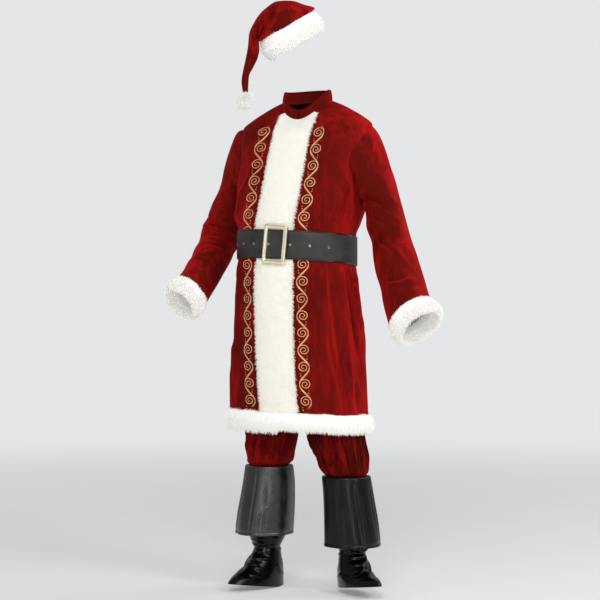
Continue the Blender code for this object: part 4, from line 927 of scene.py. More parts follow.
beltRings = beltPoint(beltTurns[:, None] % 360.0, beltSection[:, 0],
                      strapClimb(beltTurns)[:, None] + beltSection[None, :, 1])
beltPiece = swept("belt_strap", beltRings, beltLeather, False)
beltPiece.data.materials.append(beltEdge)
beadSteps = np.abs(beltSection[:, 0]) + np.abs(np.roll(beltSection[:, 0], -1)) > 2 * belt["bead"]
for k, face in enumerate(beltPiece.data.polygons):
    if len(face.vertices) == 4 and beadSteps[k % len(beltSection)]:
        face.material_index = 1

eyelets = {"angles": (-54.0, -37.0, -20.0, -3.5, 17.0, 34.0, 52.0), "ring": 0.0031, "wire": 0.0008,
           "sides": 28, "wireSides": 10, "out": 0.0033}


def eyelet(name, angle):
    # Small rolled metal ring round a hole, with painted shade in it.
    climb = strapClimb(angle if angle > belt["overlap"] else angle + 360.0)
    middle = beltPoint(angle, 0.0, climb + eyelets["out"])
    side = unit(beltPoint(angle + 0.6) - beltPoint(angle - 0.6))
    face = unit(np.cross(side, upward))
    turn = np.linspace(0, 2 * math.pi, eyelets["sides"] + 1)[:-1]
    roll = np.linspace(0, 2 * math.pi, eyelets["wireSides"] + 1)[:-1]
    spoke = side[None] * np.cos(turn)[:, None] + upward[None] * np.sin(turn)[:, None]
    rings = middle + spoke[:, None] * (eyelets["ring"] + eyelets["wire"] * np.cos(roll))[None, :, None] \
        + face[None, None] * (eyelets["wire"] * 0.7 * np.sin(roll))[None, :, None]
    swept(name, rings, eyeletSilver, True, replaces=False)
    # A near-black disc inside the ring: painted shade down the hole.
    shadeDisc = np.concatenate([middle[None], middle + spoke * eyelets["ring"] * 0.9])
    slices = [(0, 1 + k, 1 + (k + 1) % eyelets["sides"]) for k in range(eyelets["sides"])]
    addPiece(name + "_hole_shade", shadeDisc, slices, beltEdge, replaces=False)


for k, angle in enumerate(eyelets["angles"]):
    eyelet("eyelet_%d" % (k + 1), angle)

buckle = {"width": 0.078, "height": 0.116, "bar": 0.0125, "seat": 0.0006, "lean": math.radians(5.6),
          "corner": 6, "radius": 0.0026, "rounder": 0.30}
buckleSection = (
    # across the bar from outside in, and height off its back: a broad round face and a thin inner bead
    (0.00625, 0.0), (0.00625, 0.0038), (0.006, 0.0052), (0.0052, 0.0066), (0.0041, 0.0075), (0.0028, 0.0079),
    (0.0014, 0.008), (0.0, 0.0079), (-0.0013, 0.0075), (-0.0023, 0.0067), (-0.003, 0.0058), (-0.0037, 0.0056),
    (-0.0044, 0.0062), (-0.0052, 0.0065), (-0.0059, 0.006), (-0.00625, 0.0048), (-0.00625, 0.0),
)


def buckleRing(across):
    # Rounded rectangle at a distance out from the bar's middle line.
    halfX = 0.5 * (buckle["width"] - buckle["bar"]) + across
    halfZ = 0.5 * (buckle["height"] - buckle["bar"]) + across
    radius = buckle["radius"] + buckle["rounder"] * (across + 0.5 * buckle["bar"])
    points = []
    for corner, (sx, sz) in enumerate(((1, 1), (-1, 1), (-1, -1), (1, -1))):
        for k in range(buckle["corner"] + 1):
            turn = math.radians(90.0 * corner + 90.0 * k / buckle["corner"])
            points.append((sx * (halfX - radius) + radius * math.cos(turn),
                           sz * (halfZ - radius) + radius * math.sin(turn)))
    closed = np.array(points + points[:1])
    fine = []
    for a, b in zip(closed[:-1], closed[1:]):
        parts = 8 if np.linalg.norm(b - a) > 0.01 else 1
        fine += [a + (b - a) * k / parts for k in range(parts)]
    return np.array(fine)


buckleAngle = math.degrees(math.asin(belt["buckleX"] / waistHalf))
buckleBack = beltPoint(buckleAngle, 0.0, 2 * strap + seam * 3.0) + np.array((0.0, buckle["seat"], 0.0))
leanRight = np.array((math.cos(buckle["lean"]), 0.0, -math.sin(buckle["lean"])))
leanUp = np.array((math.sin(buckle["lean"]), 0.0, math.cos(buckle["lean"])))
buckleRings = []
for across, height in buckleSection:
    flat = buckleRing(across)
    flat = buckleBack + leanRight * flat[:, :1] + leanUp * flat[:, 1:]
    buckleRings.append(flat - np.array((0.0, height, 0.0)))
swept("belt_buckle", np.stack(buckleRings, axis=1), buckleGold, True)
report("belt")

scroll = {
    "beyond": {-1: 0.0410, 1: 0.0273}, "wide": {-1: 1.38, 1: 1.0}, "pitch": 0.0513, "sway": 0.0150,
    "outer": 0.0168, "inner": 0.0030, "turns": 1.78,
    "start": 12.0, "offset": 0.0012, "halfWidth": 0.00125, "height": 0.0009, "dot": 0.0015, "sunk": 0.0002,
    "near": 26.0, "flatness": 0.93, "step": 0.0016, "fade": 0.012, "strands": ((0.0, 1.0), (0.0030, 0.60)),
    "dots": ((0.51, 0.0095, 1.0), (0.37, 0.0105, 0.75)),
    # each side's runs above and below the belt: stem's top, first volute, volutes, stem's bottom
    "runs": {
        -1: ((1.448, 1.4306, 7, 1.108), (1.046, 1.0210, 9, 0.590)),
        1: ((1.440, 1.4196, 6, 1.120), (1.046, 1.0215, 9, 0.590)),
    },
}


def coatHeightAt(z, angle):
    # Side height whose point at this angle lies at level z.
    low = np.full(np.shape(z), coat["hem"])
    high = np.full(np.shape(z), 1.50)
    for _ in range(26):
        middle = 0.5 * (low + high)
        over = coatPoint(angle, middle, False)[..., 2] > z
        high = np.where(over, middle, high)
        low = np.where(over, low, middle)
    return 0.5 * (low + high)


def onCoat(side, across, level):
    # Across is metres beyond the band's middle line, away from the fur.
    guess = np.full(np.shape(across), scroll["near"] * side)
    for _ in range(2):
        h = coatHeightAt(level, guess)
        halfWidth = tableAt(coatRings, h)[2]
        away = scroll["beyond"][side] + across * side * scroll["wide"][side]
        guess = (panelReach(h) + np.degrees(away / (halfWidth * scroll["flatness"]))) * side
    return guess, h


def cord(side, across, level, taper, faces, points):
    # Raised flat-topped thread laid on the coat along a drawn line; across grows to the wearer's left.
    angle, h = onCoat(side, across, level)
    n = coatNormal(angle, h)
    base = coatPoint(angle, h) + n * cloth
    along = unit(np.gradient(base, axis=0))
    aside = unit(np.cross(n, along))
    w = (scroll["halfWidth"] * taper)[:, None]
    t = (scroll["height"] * (0.35 + 0.65 * taper))[:, None]
    foot = n * scroll["sunk"]
    ring = np.stack([base - aside * w - foot, base - aside * w * 0.75 + n * t * 0.7, base + n * t,
                     base + aside * w * 0.75 + n * t * 0.7, base + aside * w - foot], axis=1)
    start = sum(len(p) for p in points)
    points.append(ring.reshape(-1, 3))
    first = [start + k for k in range(5)]
    last = [start + len(points[-1]) - 5 + k for k in range(5)]
    faces.extend((quadsOf(len(ring), 5, True) + start).tolist() + [first[::-1], last])


def scrollBand(name, side):
    # Running scroll: a stem that snakes down with a volute in each of its bays, and a dot beside each.
    faces, points = [], []
    for top, first, count, bottom in scroll["runs"][side]:
        for k in range(count):
            level = first - k * scroll["pitch"]
            way = 1 if k % 2 == 0 else -1
            t = np.linspace(0.0, 1.0, 60)
            turn = math.radians(scroll["start"]) + 2 * math.pi * scroll["turns"] * t
            radius = scroll["outer"] + (scroll["inner"] - scroll["outer"]) * t ** 0.92
            taper = 0.80 + 0.30 * np.sin(math.pi * np.minimum(t * 1.5, 1.0)) + 0.45 * ease((t - 0.93) / 0.07)
            across = -way * scroll["offset"] + way * radius * np.cos(turn)
            cord(side, across, level + radius * np.sin(turn), taper, faces, points)
            turn = np.linspace(0, 2 * math.pi * 0.98, 9)
            for drop, reach, size in scroll["dots"]:
                bead = scroll["dot"] * 0.5 * size
                dropped = level - drop * scroll["pitch"] + bead * np.sin(turn)
                cord(side, -way * reach + bead * np.cos(turn), dropped, np.full(9, 0.8 * size), faces, points)
        level = np.linspace(top, bottom, int((top - bottom) / scroll["step"]))
        phase = (first - level) / scroll["pitch"]
        wave = np.sin(math.pi * phase)
        slant = np.abs(wave)
        ends = ease((top - level) / scroll["fade"]) * ease((level - bottom) / scroll["fade"])
        for shift, thin in scroll["strands"]:
            line = scroll["sway"] * np.cos(math.pi * phase) + shift * np.sign(wave) * slant ** 0.8
            cord(side, line, level, (0.35 + 0.65 * ends) * thin * (0.75 + 0.45 * slant), faces, points)
    return addPiece(name, np.concatenate(points), faces, goldThread, replaces=False)


scrollRight = scrollBand("scroll_right", -1)
scrollLeft = scrollBand("scroll_left", 1)
report("embroidery")

legRings = np.array([
    # height, right spread, left spread, half width, half depth, middle y
    (1046, 0, 0, 180, 127, -10), (980, 28, 28, 144, 121, -12), (900, 58, 58, 116, 119, -8),
    (840, 76, 78, 100, 113, -2), (790, 90, 92, 88, 105, 3), (700, 96, 99, 83, 96, 7),
    (580, 97, 104, 81, 88, 10), (500, 98, 117, 76, 82, 12), (462, 102, 135, 73, 78, 12),
    (430, 108, 144, 70, 74, 12), (415, 111, 148, 67.5, 70, 12), (403, 113, 150.5, 56.5, 57.5, 12),
    (385, 115, 152.3, 52.5, 53.5, 12), (320, 115, 154, 48, 49, 12),
]) / 1000
legFolds = [
    # height, slope, angle from the outer seam to the front, half angle, half height, depth
    (0.5, 0.02, 35, 40, 0.02, 0.006), (0.462, -0.03, 80, 45, 0.018, 0.007),
    (0.47, 0.03, -60, 45, 0.018, 0.006), (0.43, 0.02, 130, 45, 0.016, 0.005),
    (0.44, -0.02, -120, 45, 0.018, 0.006), (0.56, 0.05, -20, 35, 0.025, -0.004),
    (0.6, -0.04, 110, 35, 0.03, -0.005),
]
legCreases = {
    # first angle and height, last angle and height, half width, size, bend
    1: [
        (150, 580, 122, 412, 6, 7.8, 4), (128, 600, 106, 410, 5, -7.8, 4), (104, 560, 92, 410, 5.5, 7.8, -4),
        (84, 600, 78, 412, 5, -7.8, 3), (66, 570, 66, 410, 5.5, 7.8, 3), (50, 600, 54, 412, 5, -7.7, 2),
        (30, 560, 38, 412, 6, 7.8, 0), (8, 590, 16, 412, 6, -7.4, 3), (-18, 570, -10, 412, 6, 7.8, 0),
        (-48, 580, -40, 412, 6, -7.7, 3), (-80, 560, -72, 412, 6, 7.8, 0), (-112, 590, -104, 412, 6, -7.7, 3),
        (-146, 560, -138, 412, 6, 7.7, 0), (176, 570, 168, 412, 6, -7, 3),
    ],
    -1: [
        (160, 600, 132, 418, 6, 7.8, 6), (136, 620, 108, 416, 5, -7.7, 8), (112, 590, 88, 416, 6, 7.8, 6),
        (92, 560, 68, 416, 5, -7.8, 4), (66, 600, 48, 418, 6, 7.7, 4), (44, 580, 28, 418, 5.5, -7.4, 0),
        (20, 560, 8, 418, 6, 7.7, 3), (-14, 590, -20, 418, 6, -7, 0), (-46, 570, -52, 418, 6, 7.7, 3),
        (-78, 590, -84, 418, 6, -7.4, 0), (-112, 560, -116, 418, 6, 7.7, 3), (-146, 590, -148, 418, 6, -7, 0),
    ],
}
trouser = {"bandWidth": 0.036, "bandColumns": 180, "columns": 68, "perDegree": 0.0014, "deepen": 1.6}
feet = {
    "right": {"x": -0.1165, "y": 0.012, "toeOut": -13.0, "fine": 30.0, "top": 0.400, "kneeX": 0.004,
              "cuffSwing": 0.022, "hemLift": 0.0},
    "left": {"x": 0.169, "y": 0.0126, "toeOut": 50.0, "fine": -12.0, "top": 0.376, "kneeX": -0.018,
             "cuffSwing": 0.004, "hemLift": 0.016},
}


def legPoint(side, height, turn):
    # turn is degrees from the outer seam towards the front.
    height, turn = np.broadcast_arrays(np.asarray(height, float), np.asarray(turn, float))
    right, left, halfWidth, halfDepth, middleY = tableAt(legRings, height)
    foot, spread = (feet["left"], left) if side > 0 else (feet["right"], right)
    fold = np.zeros(height.shape)
    for place, slope, at, halfAngle, halfHeight, size in legFolds:
        away = turned(turn, at * side)
        near = bell(height - place - slope * np.radians(away), halfHeight)
        fold = fold + size * near * bell(away, halfAngle)
    fold = fold * ease((height - 0.400) / 0.03)
    pleats = creaseDepth(turn, height, trouser["perDegree"], legCreases[side])
    fold = fold + trouser["deepen"] * pleats * ease((height - 0.404) / 0.014)
    c, s = circle(turn)
    level = height + (foot["top"] - 0.400) * ease((0.56 - height) / 0.10)
    x = spread + (halfWidth + fold) * c
    return np.stack([side * x, middleY - (halfDepth + fold) * s, level], axis=-1)


def legReach(side, height):
    # Angle at which the leg meets the middle plane, 180 where it stays clear of it.
    rings = tableAt(legRings, height)
    share = np.clip((rings[1 if side > 0 else 0] - 0.5 * seam) / rings[2], -1.0, 1.0)
    return np.where(share >= 1.0, 180.0, np.degrees(np.arccos(-share)))


def waistPoint(angle, drop, inward):
    return aroundWaist(angle, -np.asarray(drop), -(seam * 1.5 + inward))


bandTurns = np.linspace(0.0, 360.0, trouser["bandColumns"] + 1)[:-1]
bandSection = ((-0.018, 0.0004), (-0.0175, 0.0), (0.0, 0.0002), (0.0175, 0.0), (0.018, 0.0004),
               (0.018, 0.0022), (0.0, 0.0025), (-0.018, 0.0022))
bandRings = np.stack([waistPoint(bandTurns, drop, inward) for drop, inward in bandSection], axis=1)
waistPiece = swept("trouser_waistband", bandRings, velvetRed, True)


def trouserWall(name, side, part):
    sign = 1.0 if part == "front" else -1.0
    heights = np.concatenate([np.linspace(0.985, 0.64, 13), np.linspace(0.62, 0.403, 48),
                              np.linspace(0.397, 0.32, 6)])
    share = np.linspace(0.0, 1.0, trouser["columns"] + 1)[None]
    reach = legReach(side, heights)[:, None]
    first = math.degrees(0.5 * seam / 0.08)
    whole = first + share * (180.0 - 2 * first)
    turn = np.where(reach >= 180.0, whole, first + share * (reach - first)) * sign
    inner = legPoint(side, heights[:, None], turn)
    angle = (90.0 - (0.05 + share[0] * 89.9) * sign) * side
    top = waistPoint(angle, 0.5 * trouser["bandWidth"] + seam * 1.5, 0.0022)
    steps = np.linspace(0.0, 1.0, 7)[:-1, None, None]
    inner = np.concatenate([top[None] + (inner[0] - top)[None] * steps, inner])
    normals = gridNormals(inner, False)
    if np.sum((normals * (inner - np.array((side * 0.05, 0.0, 0.0))))[..., :2]) < 0:
        normals = -normals
    last = normals[:, -1].copy()
    split = np.concatenate([np.full(6, True), legReach(side, heights) < 180.0])
    last[split, 0] = 0.0
    normals[:, -1] = unit(last)
    return shell(name, inner, cloth * normals, velvetLegShaded)


for word, side in (("left", 1), ("right", -1)):
    for part in ("front", "back"):
        key = "trouser_%s_%s" % (part, word)
        trouserWall(key, side, part)
report("trousers")

coverRings = np.array([
    # height, reach back, reach forward, half width
    (26, 60, 182, 47), (60, 58, 150, 48), (92, 54, 100, 45), (125, 44, 62, 40), (148, 38, 47, 37),
    (180, 49, 61, 49), (205, 50, 56, 50), (260, 55, 55, 54), (330, 58, 58, 57), (400, 61, 61, 60),
]) / 1000
coverFolds = [
    # height, angle round the ankle (0 toe), half angle, half height, depth
    (0.182, 40, 60, 0.011, 0.004), (0.16, -30, 60, 0.01, -0.003), (0.14, 20, 50, 0.012, 0.004),
    (0.17, 180, 60, 0.012, 0.004), (0.105, -10, 50, 0.012, 0.004), (0.075, 30, 50, 0.014, -0.003),
]
coverCreases = [
    # first angle and height, last angle and height, half width, size, bend
    (-70, 196, 60, 186, 3.5, 3.4, 6), (-50, 180, 80, 172, 3.2, -3.2, -5), (-80, 170, 30, 156, 3.6, 3.6, 6),
    (-20, 158, 95, 150, 3.2, 3.4, -6), (-60, 148, 50, 132, 3.4, -3.4, 5), (-35, 132, 70, 118, 3.6, 3.6, 4),
    (10, 122, 70, 78, 4, 3, 6), (-70, 126, -15, 92, 4, 3, -6), (-25, 104, 40, 98, 4.2, -2.8, 4),
    (-55, 94, 10, 66, 4.5, 2.6, 5), (20, 72, 75, 52, 4.5, -2.2, 3), (100, 190, 230, 182, 3.6, 3.4, 5),
    (120, 168, 250, 160, 3.4, -3.4, -5), (110, 146, 240, 140, 3.6, 3.2, 5), (130, 118, 220, 124, 4, -2.6, 3),
    (95, 100, 150, 60, 4.5, 2.4, 5), (260, 100, 215, 55, 4.5, 2.4, -5), (0, 230, 120, 222, 5, 2.4, 6),
    (180, 240, 300, 228, 5, -2.4, 6),
]
boot = {
    "toeRise": 0.026, "toeTaper": 0.22, "perDegree": 0.00085, "deepen": 1.45, "columns": 108, "top": 0.398,
    "cuffColumns": 112, "cuffDrop": 0.205, "cuffPerDegree": 0.00115,
    "cuff": ((0.020, 0.0023), (0.006, 0.0027), (-0.002, 0.0066), (-0.003, 0.0100), (0.006, 0.0122),
             (0.070, 0.0165), (0.140, 0.0215), (0.205, 0.0245)),
    "cuffFolds": ((-35, 12, -0.004), (10, 16, 0.002), (60, 14, -0.002), (120, 18, 0.003), (200, 16, -0.003),
                  (260, 18, 0.003)),
}
cuffCreases = {
    # first angle and drop, last angle and drop, half width, size, bend
    "right": [
        (-46, 4, -50, 225, 7, 1.2, 2), (128, 4, 124, 225, 7, 5, 0), (11, -10, 10, 225, 3.6, -4.6, 1),
        (19, -10, 18, 225, 15, 6.2, 1), (29, 20, 41, 120, 4, -2.2, 6), (37, 110, 34, 200, 5, 2, -3),
        (72, 10, 80, 150, 6, -1.8, 6), (190, 20, 196, 200, 8, 2.8, 4), (240, 15, 236, 200, 7, -2.4, 0),
    ],
    "left": [
        (-114, -30, -116, 260, 34, -8.5, 0), (62, 4, 64, 225, 7, 4, 0), (-4, -10, 4, 225, 5, 6, 1),
        (-13, -10, -5, 225, 6, -3.4, 1), (34, 10, 40, 200, 4.5, -3, 2), (-60, 40, -52, 190, 10, 1.8, 4),
        (110, 15, 114, 200, 8, 2.6, 4), (160, 20, 156, 200, 8, -2.6, 4), (205, 15, 210, 200, 8, 2.6, 4),
    ],
}


def footPoint(foot, forward, sideways, height):
    turn = math.radians(foot["toeOut"])
    x = foot["x"] + math.sin(turn) * forward + math.cos(turn) * sideways
    y = foot["y"] - math.cos(turn) * forward + math.sin(turn) * sideways
    return np.stack(np.broadcast_arrays(x, y, height), axis=-1)


def coverPoint(foot, height, turn, out=0.0):
    # turn is degrees round from the toe; heights stretch so the shaft ends at the foot's own top.
    height, turn = np.broadcast_arrays(np.asarray(height, float), np.asarray(turn, float))
    shaft = ease((height - 0.15) / 0.25)
    back, front, halfWidth = tableAt(coverRings, height)
    c, s = circle(turn)
    fold = np.zeros(height.shape) + out
    for place, at, halfAngle, halfHeight, size in coverFolds:
        fold = fold + size * bell(height - place, halfHeight) * bell(turned(turn, at), halfAngle)
    mirrored = turn if foot["toeOut"] < 0 else -turn + 14.0
    creases = creaseDepth(mirrored, height, boot["perDegree"], coverCreases)
    fold = fold + creases * boot["deepen"] * ease((0.30 - height) / 0.05)
    taper = 1.0 - boot["toeTaper"] * np.maximum(c, 0.0) * ease((front - back) / 0.08)
    forward = 0.5 * (front - back) + (0.5 * (front + back) + fold) * c
    sideways = (halfWidth * taper + fold) * s
    rise = boot["toeRise"] * np.maximum(forward, 0.0) / 0.18 + foot["hemLift"]
    rise = rise * ease((0.110 - height) / 0.080)
    stretch = 1.0 + (foot["top"] / 0.400 - 1.0) * shaft
    point = footPoint(foot, forward, sideways, height * stretch + rise)
    point[..., 0] += foot["kneeX"] * shaft
    return point


def bootTurns(foot, count):
    # Closer together on the side with the finest creases.
    step = 360.0 * np.arange(count) / count
    return foot["fine"] + step - 27.0 * np.sin(np.radians(step))


def bootCover(word):
    foot = feet[word]
    heights = np.concatenate([np.linspace(0.026, 0.215, 76), np.linspace(0.225, boot["top"], 12)])
    grid = coverPoint(foot, heights[:, None], bootTurns(foot, boot["columns"])[None])
    offset = vinyl * outward(gridNormals(grid), grid)
    return shell("boot_cover_" + word, grid, offset, vinylCover, around=True)


def bootCuff(word):
    # Starts against the shaft, turns over at the top and hangs down outside.
    foot = feet[word]
    turns = bootTurns(foot, boot["cuffColumns"])
    fine = np.concatenate([np.linspace(0, 5, 21), np.linspace(5.08, 6.86, 24), np.linspace(6.87, 7.0, 11)])
    down, out = tableAt([(k, *corner) for k, corner in enumerate(boot["cuff"])], fine)
    hung = ease(down / boot["cuffDrop"])
    hanging = ease((fine - 3.6) / 1.2)[:, None]
    fold = sum(size * bell(turned(turns, at), half) for at, half, size in boot["cuffFolds"]) * hung[:, None]
    fold = fold + creaseDepth(turns[None], down[:, None], boot["cuffPerDegree"], cuffCreases[word]) * hanging
    hemmed = 0.0005 * bell(down - 0.2015, 0.0024) - 0.0008 * bell(down - 0.1965, 0.0014)
    fold = fold + hemmed[:, None] * hanging
    point = coverPoint(foot, np.full((len(fine), 1), boot["top"]), turns[None], out[:, None] + vinyl + fold)
    moved = footPoint(foot, foot["cuffSwing"] * hung, 0.0, -down) - footPoint(foot, 0.0, 0.0, 0.0)
    moved[:, 0] -= foot["kneeX"] * (1.0 - ease((boot["top"] - down - 0.15) / 0.25))
    grid = point + moved[:, None]
    normals = gridNormals(grid)
    if np.sum(normals[-1] * (grid[-1] - grid[-1].mean(axis=0))) < 0:
        normals = -normals
    return shell("boot_cuff_" + word, grid, vinyl * normals, vinylCuff[word], around=True)


bootPieces = {word: (bootCover(word), bootCuff(word)) for word in ("left", "right")}
report("boot tops")

hat = {
    "turn": math.radians(26.0), "middle": np.array((-0.0335, -0.014, 1.762)),
    "roll": math.radians(-31.0), "pitch": math.radians(8.0), "halfWidth": 0.0850, "halfDepth": 0.0910,
    "columns": 120, "rows": 134, "perDegree": 0.0014, "length": 0.50,
    "pompomRight": -0.1320, "pompomUp": -0.2292, "pompomCore": 0.0150, "pompomSides": 40, "pompomRows": 20,
    "bandFull": 0.012, "bandColumns": 149,
}
crownRings = np.array([
    # inner edge right, inner edge up, outer edge right, outer edge up, half depth
    (-72, -43.3, 72, 43.3, 90), (-84, -47, 79, 50, 92), (-89, -48, 50, 59.5, 89), (-92, -46, 11, 71, 82),
    (-94, -44, -33, 67.5, 74), (-93, -44, -75, 43, 64), (-92.5, -48, -105, 3, 54),
    (-91.5, -58, -119, -30, 45), (-90.5, -75, -122, -65, 37), (-95.5, -100, -129, -103, 30),
    (-108, -127, -137, -140, 24), (-122.5, -157, -142, -173, 17), (-126, -207.5, -138, -208.5, 6.5),
]) / 1000
crownCreases = [
    # first angle and distance from the band, last angle and distance, half width, size, bend
    (176, 42.5, 58, 72.5, 10, 13, 6), (178, 75, 52, 120, 6.2, -17, 10), (176, 107.5, 48, 165, 11, 14, 14),
    (176, 150, 66, 215, 6.2, -15, 6), (168, 25, 62, 60, 5, 3.5, 8), (165, 55, 80, 80, 4.2, -4, 8),
    (165, 95, 88, 130, 5, 4, 10), (150, 130, 40, 180, 4.8, -5, 16), (150, 180, 60, 235, 6, 6, 10),
    (40, 165, 74, 120, 4.5, -5, 6), (150, 180, 60, 250, 5, -7.5, 6), (172, 120, 128, 330, 4.8, -7, 4),
    (130, 220, 60, 300, 6, 5, 6), (110, 250, 60, 390, 6, 4.5, 6), (70, 275, 110, 425, 5, -4.5, 4),
    (30, 50, 10, 170, 10, 4.5, 10), (210, 40, 290, 120, 7, -6.3, 10), (220, 90, 300, 170, 7, 6.9, 10),
    (205, 150, 290, 220, 6, -5.6, 8), (240, 225, 280, 375, 6, 4.5, 6), (330, 75, 345, 200, 10, -3.7, 6),
    (180, 275, 190, 425, 5, -3.7, 3),
]
# The hat's own ways, and those of its tilted band.
hatRight = np.array((math.cos(hat["turn"]), math.sin(hat["turn"]), 0.0))
hatNear = np.array((math.sin(hat["turn"]), -math.cos(hat["turn"]), 0.0))
bandRight = hatRight * math.cos(hat["roll"]) - upward * math.sin(hat["roll"])
rolledUp = upward * math.cos(hat["roll"]) + hatRight * math.sin(hat["roll"])
bandFront = hatNear * math.cos(hat["pitch"]) - rolledUp * math.sin(hat["pitch"])
bandTop = rolledUp * math.cos(hat["pitch"]) + hatNear * math.sin(hat["pitch"])


def bandEdge(turn, out):
    c, s = circle(turn[:, None])
    return hat["middle"] + bandRight * c * (hat["halfWidth"] + out) + bandFront * s * (hat["halfDepth"] + out)


def crownPoint(share, turn, fold=0.0):
    middles = crownRings[:, :2] * 0.5 + crownRings[:, 2:4] * 0.5
    steps = np.linalg.norm(np.diff(middles, axis=0), axis=1)
    spans = np.linalg.norm(np.diff(crownRings[:, 2:4], axis=0), axis=1)
    keys = np.concatenate([[0.0], np.cumsum(np.maximum(steps, spans))])
    inR, inU, outR, outU, deep = tableAt(np.column_stack([keys, crownRings]), share * keys[-1])
    c, s = circle(turn)
    length = np.maximum(np.hypot(outR - inR, outU - inU), 1e-6)
    r = 0.5 * (inR + outR) + (0.5 * (outR - inR) + fold * (outR - inR) / length) * c
    u = 0.5 * (inU + outU) + (0.5 * (outU - inU) + fold * (outU - inU) / length) * c
    near = s * (deep + fold)
    return hat["middle"] + hatRight * r[..., None] + upward * u[..., None] + hatNear * near[..., None]


crownShare = np.linspace(0.0, 1.0, hat["rows"])[:, None]
crownShare = crownShare * (0.78 + 0.22 * crownShare)
crownStep = 360.0 * np.arange(hat["columns"]) / hat["columns"]
crownTurn = 90.0 + crownStep - 32.0 * np.sin(np.radians(crownStep))
crownFold = creaseDepth(crownTurn[None], crownShare * hat["length"], hat["perDegree"], crownCreases)
crownFold = crownFold * ease(crownShare / 0.05) * ease((1.0 - crownShare) / 0.12)
crownGrid = crownPoint(np.broadcast_to(crownShare, crownFold.shape), crownTurn[None], crownFold)
crownKeep = (1.0 - ease(crownShare / 0.16))[..., None]
crownFirst = crownPoint(np.zeros(hat["columns"]), crownTurn)
crownGrid = crownGrid + crownKeep * (bandEdge(crownTurn, 0.0) - crownFirst)[None]
crownNormals = outward(gridNormals(crownGrid), crownGrid)
level = crownGrid[0] - crownGrid[0].mean(axis=0)
crownNormals[0] = unit(level - (level @ bandTop)[:, None] * bandTop)
crownPiece = shell("hat_crown", crownGrid, cloth * crownNormals, velvetHat, around=True)

bandTurn = np.linspace(0.0, 360.0, hat["bandColumns"] + 1)[:-1]
bandFull = hat["bandFull"] * ease(-np.cos(np.radians(bandTurn)))[:, None]
bandEdges = bandEdge(bandTurn, cloth * 0.5 + bandFull)
bandDown = np.tile(-bandTop, (len(bandTurn), 1))
bandPiece, bandHairs = furOnEdge("hat_band", bandEdges - bandTop * seam * 1.5,
                                 unit(bandEdges - hat["middle"]), bandDown, "band", True, 51)
pompomMiddle = hat["middle"] + hatRight * hat["pompomRight"] + upward * hat["pompomUp"]


def spread(count):
    # Directions spread evenly over a ball.
    k = np.arange(count) + 0.5
    z = 1.0 - 2.0 * k / count
    r = np.sqrt(1.0 - z * z)
    golden = math.pi * (3.0 - math.sqrt(5.0))
    return np.stack([r * np.cos(golden * k), r * np.sin(golden * k), z], axis=-1)


def pompomCore():
    sides, rows = hat["pompomSides"], hat["pompomRows"]
    turns = np.linspace(0.0, 2 * math.pi, sides + 1)[:-1]
    lifts = np.linspace(-0.5 * math.pi, 0.5 * math.pi, rows + 2)[1:-1, None]
    grid = np.stack([np.cos(lifts) * np.cos(turns), np.cos(lifts) * np.sin(turns),
                     np.repeat(np.sin(lifts), sides, axis=1)], axis=-1)
    ball = grid * (hat["pompomCore"] * (1 + 0.05 * ripple(grid, 0.9, 61)))[..., None] + pompomMiddle
    ends = [list(range(sides))[::-1], list(range((rows - 1) * sides, rows * sides))]
    return addPiece("hat_pompom", ball, quadsOf(rows, sides, True).tolist() + ends, furRoot)


pompomPiece = pompomCore()
ball = spread(furFell["pompom"]["count"])
ball = ball[ball[:, 2] < 0.93]
strands("hat_pompom_hairs", pompomMiddle + ball * hat["pompomCore"], ball,
        np.tile(-upward, (len(ball), 1)), furFell["pompom"])
report("hat")


def floorPaint():
    # Pale floor that fades into the backdrop away from the suit.
    p = Paint("floorPale", {"Specular IOR Level": 0.10, "Emission Color": (1.0, 1.0, 1.0, 1.0),
                            "Emission Strength": 0.20})
    away = p.node("ShaderNodeVectorMath", {"operation": "LENGTH"}, {0: p.coords}, "Value")
    return p.feed({"Base Color": p.mixed(p.noise(3.0, 2.0), (0.80, 0.80, 0.80), (0.82, 0.82, 0.82)),
                   "Roughness": 0.75 + p.noise(40.0) * 0.05, "Alpha": 1.0 - away.between(1.4, 6.5)})


studio = {
    "floor": 8.0, "floorSides": 96,
    "world": (0.97, 0.98, 1.0), "worldStrength": 0.30, "backdrop": (0.78, 0.79, 0.80),
    "lights": (
        # place, size, power, colour
        ((-1.3, -4.0, -0.4), 1.5, 9.0, (1.0, 0.99, 0.97)),
        ((4.0, -1.6, 1.6), 1.6, 64.0, (0.98, 0.99, 1.0)),
        ((1.7, -4.0, 2.0), 2.0, 92.0, (1.0, 1.0, 1.0)),
        ((2.3, -3.9, -1.0), 0.9, 15.0, (1.0, 1.0, 1.0)),
        ((-3.2, 1.6, 1.0), 2.0, 7.0, (1.0, 1.0, 1.0)),
        ((3.0, 3.0, 1.6), 2.2, 38.0, (1.0, 1.0, 1.0)),
    ),
    "target": (-0.011, -0.030, -0.585), "distance": 5.5, "azimuth": 26.0, "lens": 107.16,
}


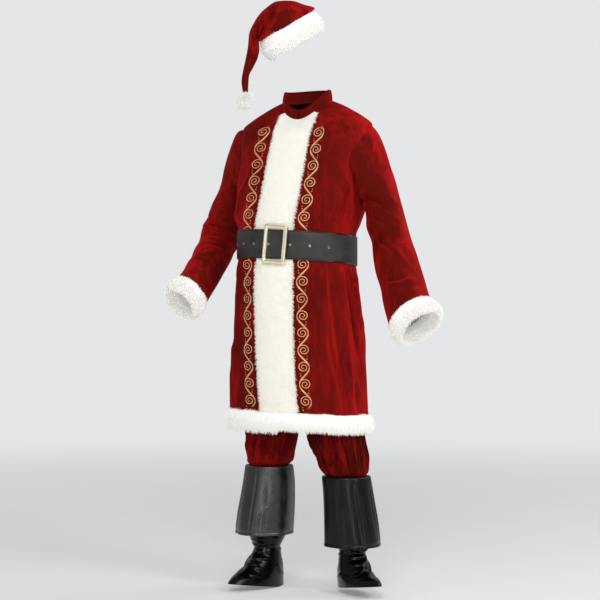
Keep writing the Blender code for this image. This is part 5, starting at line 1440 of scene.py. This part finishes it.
def placed(name, data, place, aim=True):
    # Object in the scene, a lamp or the camera turned to the target.
    thing = bpy.data.objects.new(name, data)
    thing.location = place
    if aim:
        way = Vector(studio["target"]) - thing.location
        thing.rotation_euler = way.to_track_quat("-Z", "Y").to_euler()
    bpy.context.scene.collection.objects.link(thing)
    return thing


def makeFloor():
    turns = np.linspace(0.0, 2 * math.pi, studio["floorSides"] + 1)[:-1]
    rim = np.stack([np.cos(turns), np.sin(turns), np.zeros(len(turns))], axis=-1) * studio["floor"]
    mesh = bpy.data.meshes.new("floor")
    mesh.from_pydata(rim.tolist(), [], [tuple(range(len(turns)))])
    mesh.materials.append(floorPaint())
    floor = placed("floor", mesh, (0.0, 0.0, cadBox[0][2]), False)


def makeWorld():
    # Soft light from all round, and a plain backdrop where the camera looks past the suit.
    world = bpy.data.worlds.new("studio")
    world.use_nodes = True
    tree = world.node_tree
    sky = tree.nodes["Background"]
    sky.inputs["Color"].default_value = (*studio["world"], 1.0)
    sky.inputs["Strength"].default_value = studio["worldStrength"]
    seen = tree.nodes.new("ShaderNodeBackground")
    seen.inputs["Color"].default_value = (*studio["backdrop"], 1.0)
    path = tree.nodes.new("ShaderNodeLightPath")
    either = tree.nodes.new("ShaderNodeMixShader")
    for k, socket in enumerate((path.outputs["Is Camera Ray"], sky.outputs[0], seen.outputs[0])):
        tree.links.new(socket, either.inputs[k])
    tree.links.new(either.outputs[0], tree.nodes["World Output"].inputs[0])
    bpy.context.scene.world = world


def makeLights():
    for k, (place, size, power, colour) in enumerate(studio["lights"]):
        light = bpy.data.lights.new("soft_%d" % (k + 1), "AREA")
        light.size = size
        light.energy = power
        light.color = colour
        placed(light.name, light, place)


def makeCamera():
    lens = bpy.data.cameras.new("view")
    lens.lens = studio["lens"]
    lens.sensor_width = 36.0
    turn = math.radians(studio["azimuth"])
    away = studio["distance"] * Vector((math.sin(turn), -math.cos(turn), 0.0))
    bpy.context.scene.camera = placed("view", lens, Vector(studio["target"]) + away)


makeFloor()
makeWorld()
makeLights()
makeCamera()
bpy.context.scene.view_settings.view_transform = "Standard"
report("stage")
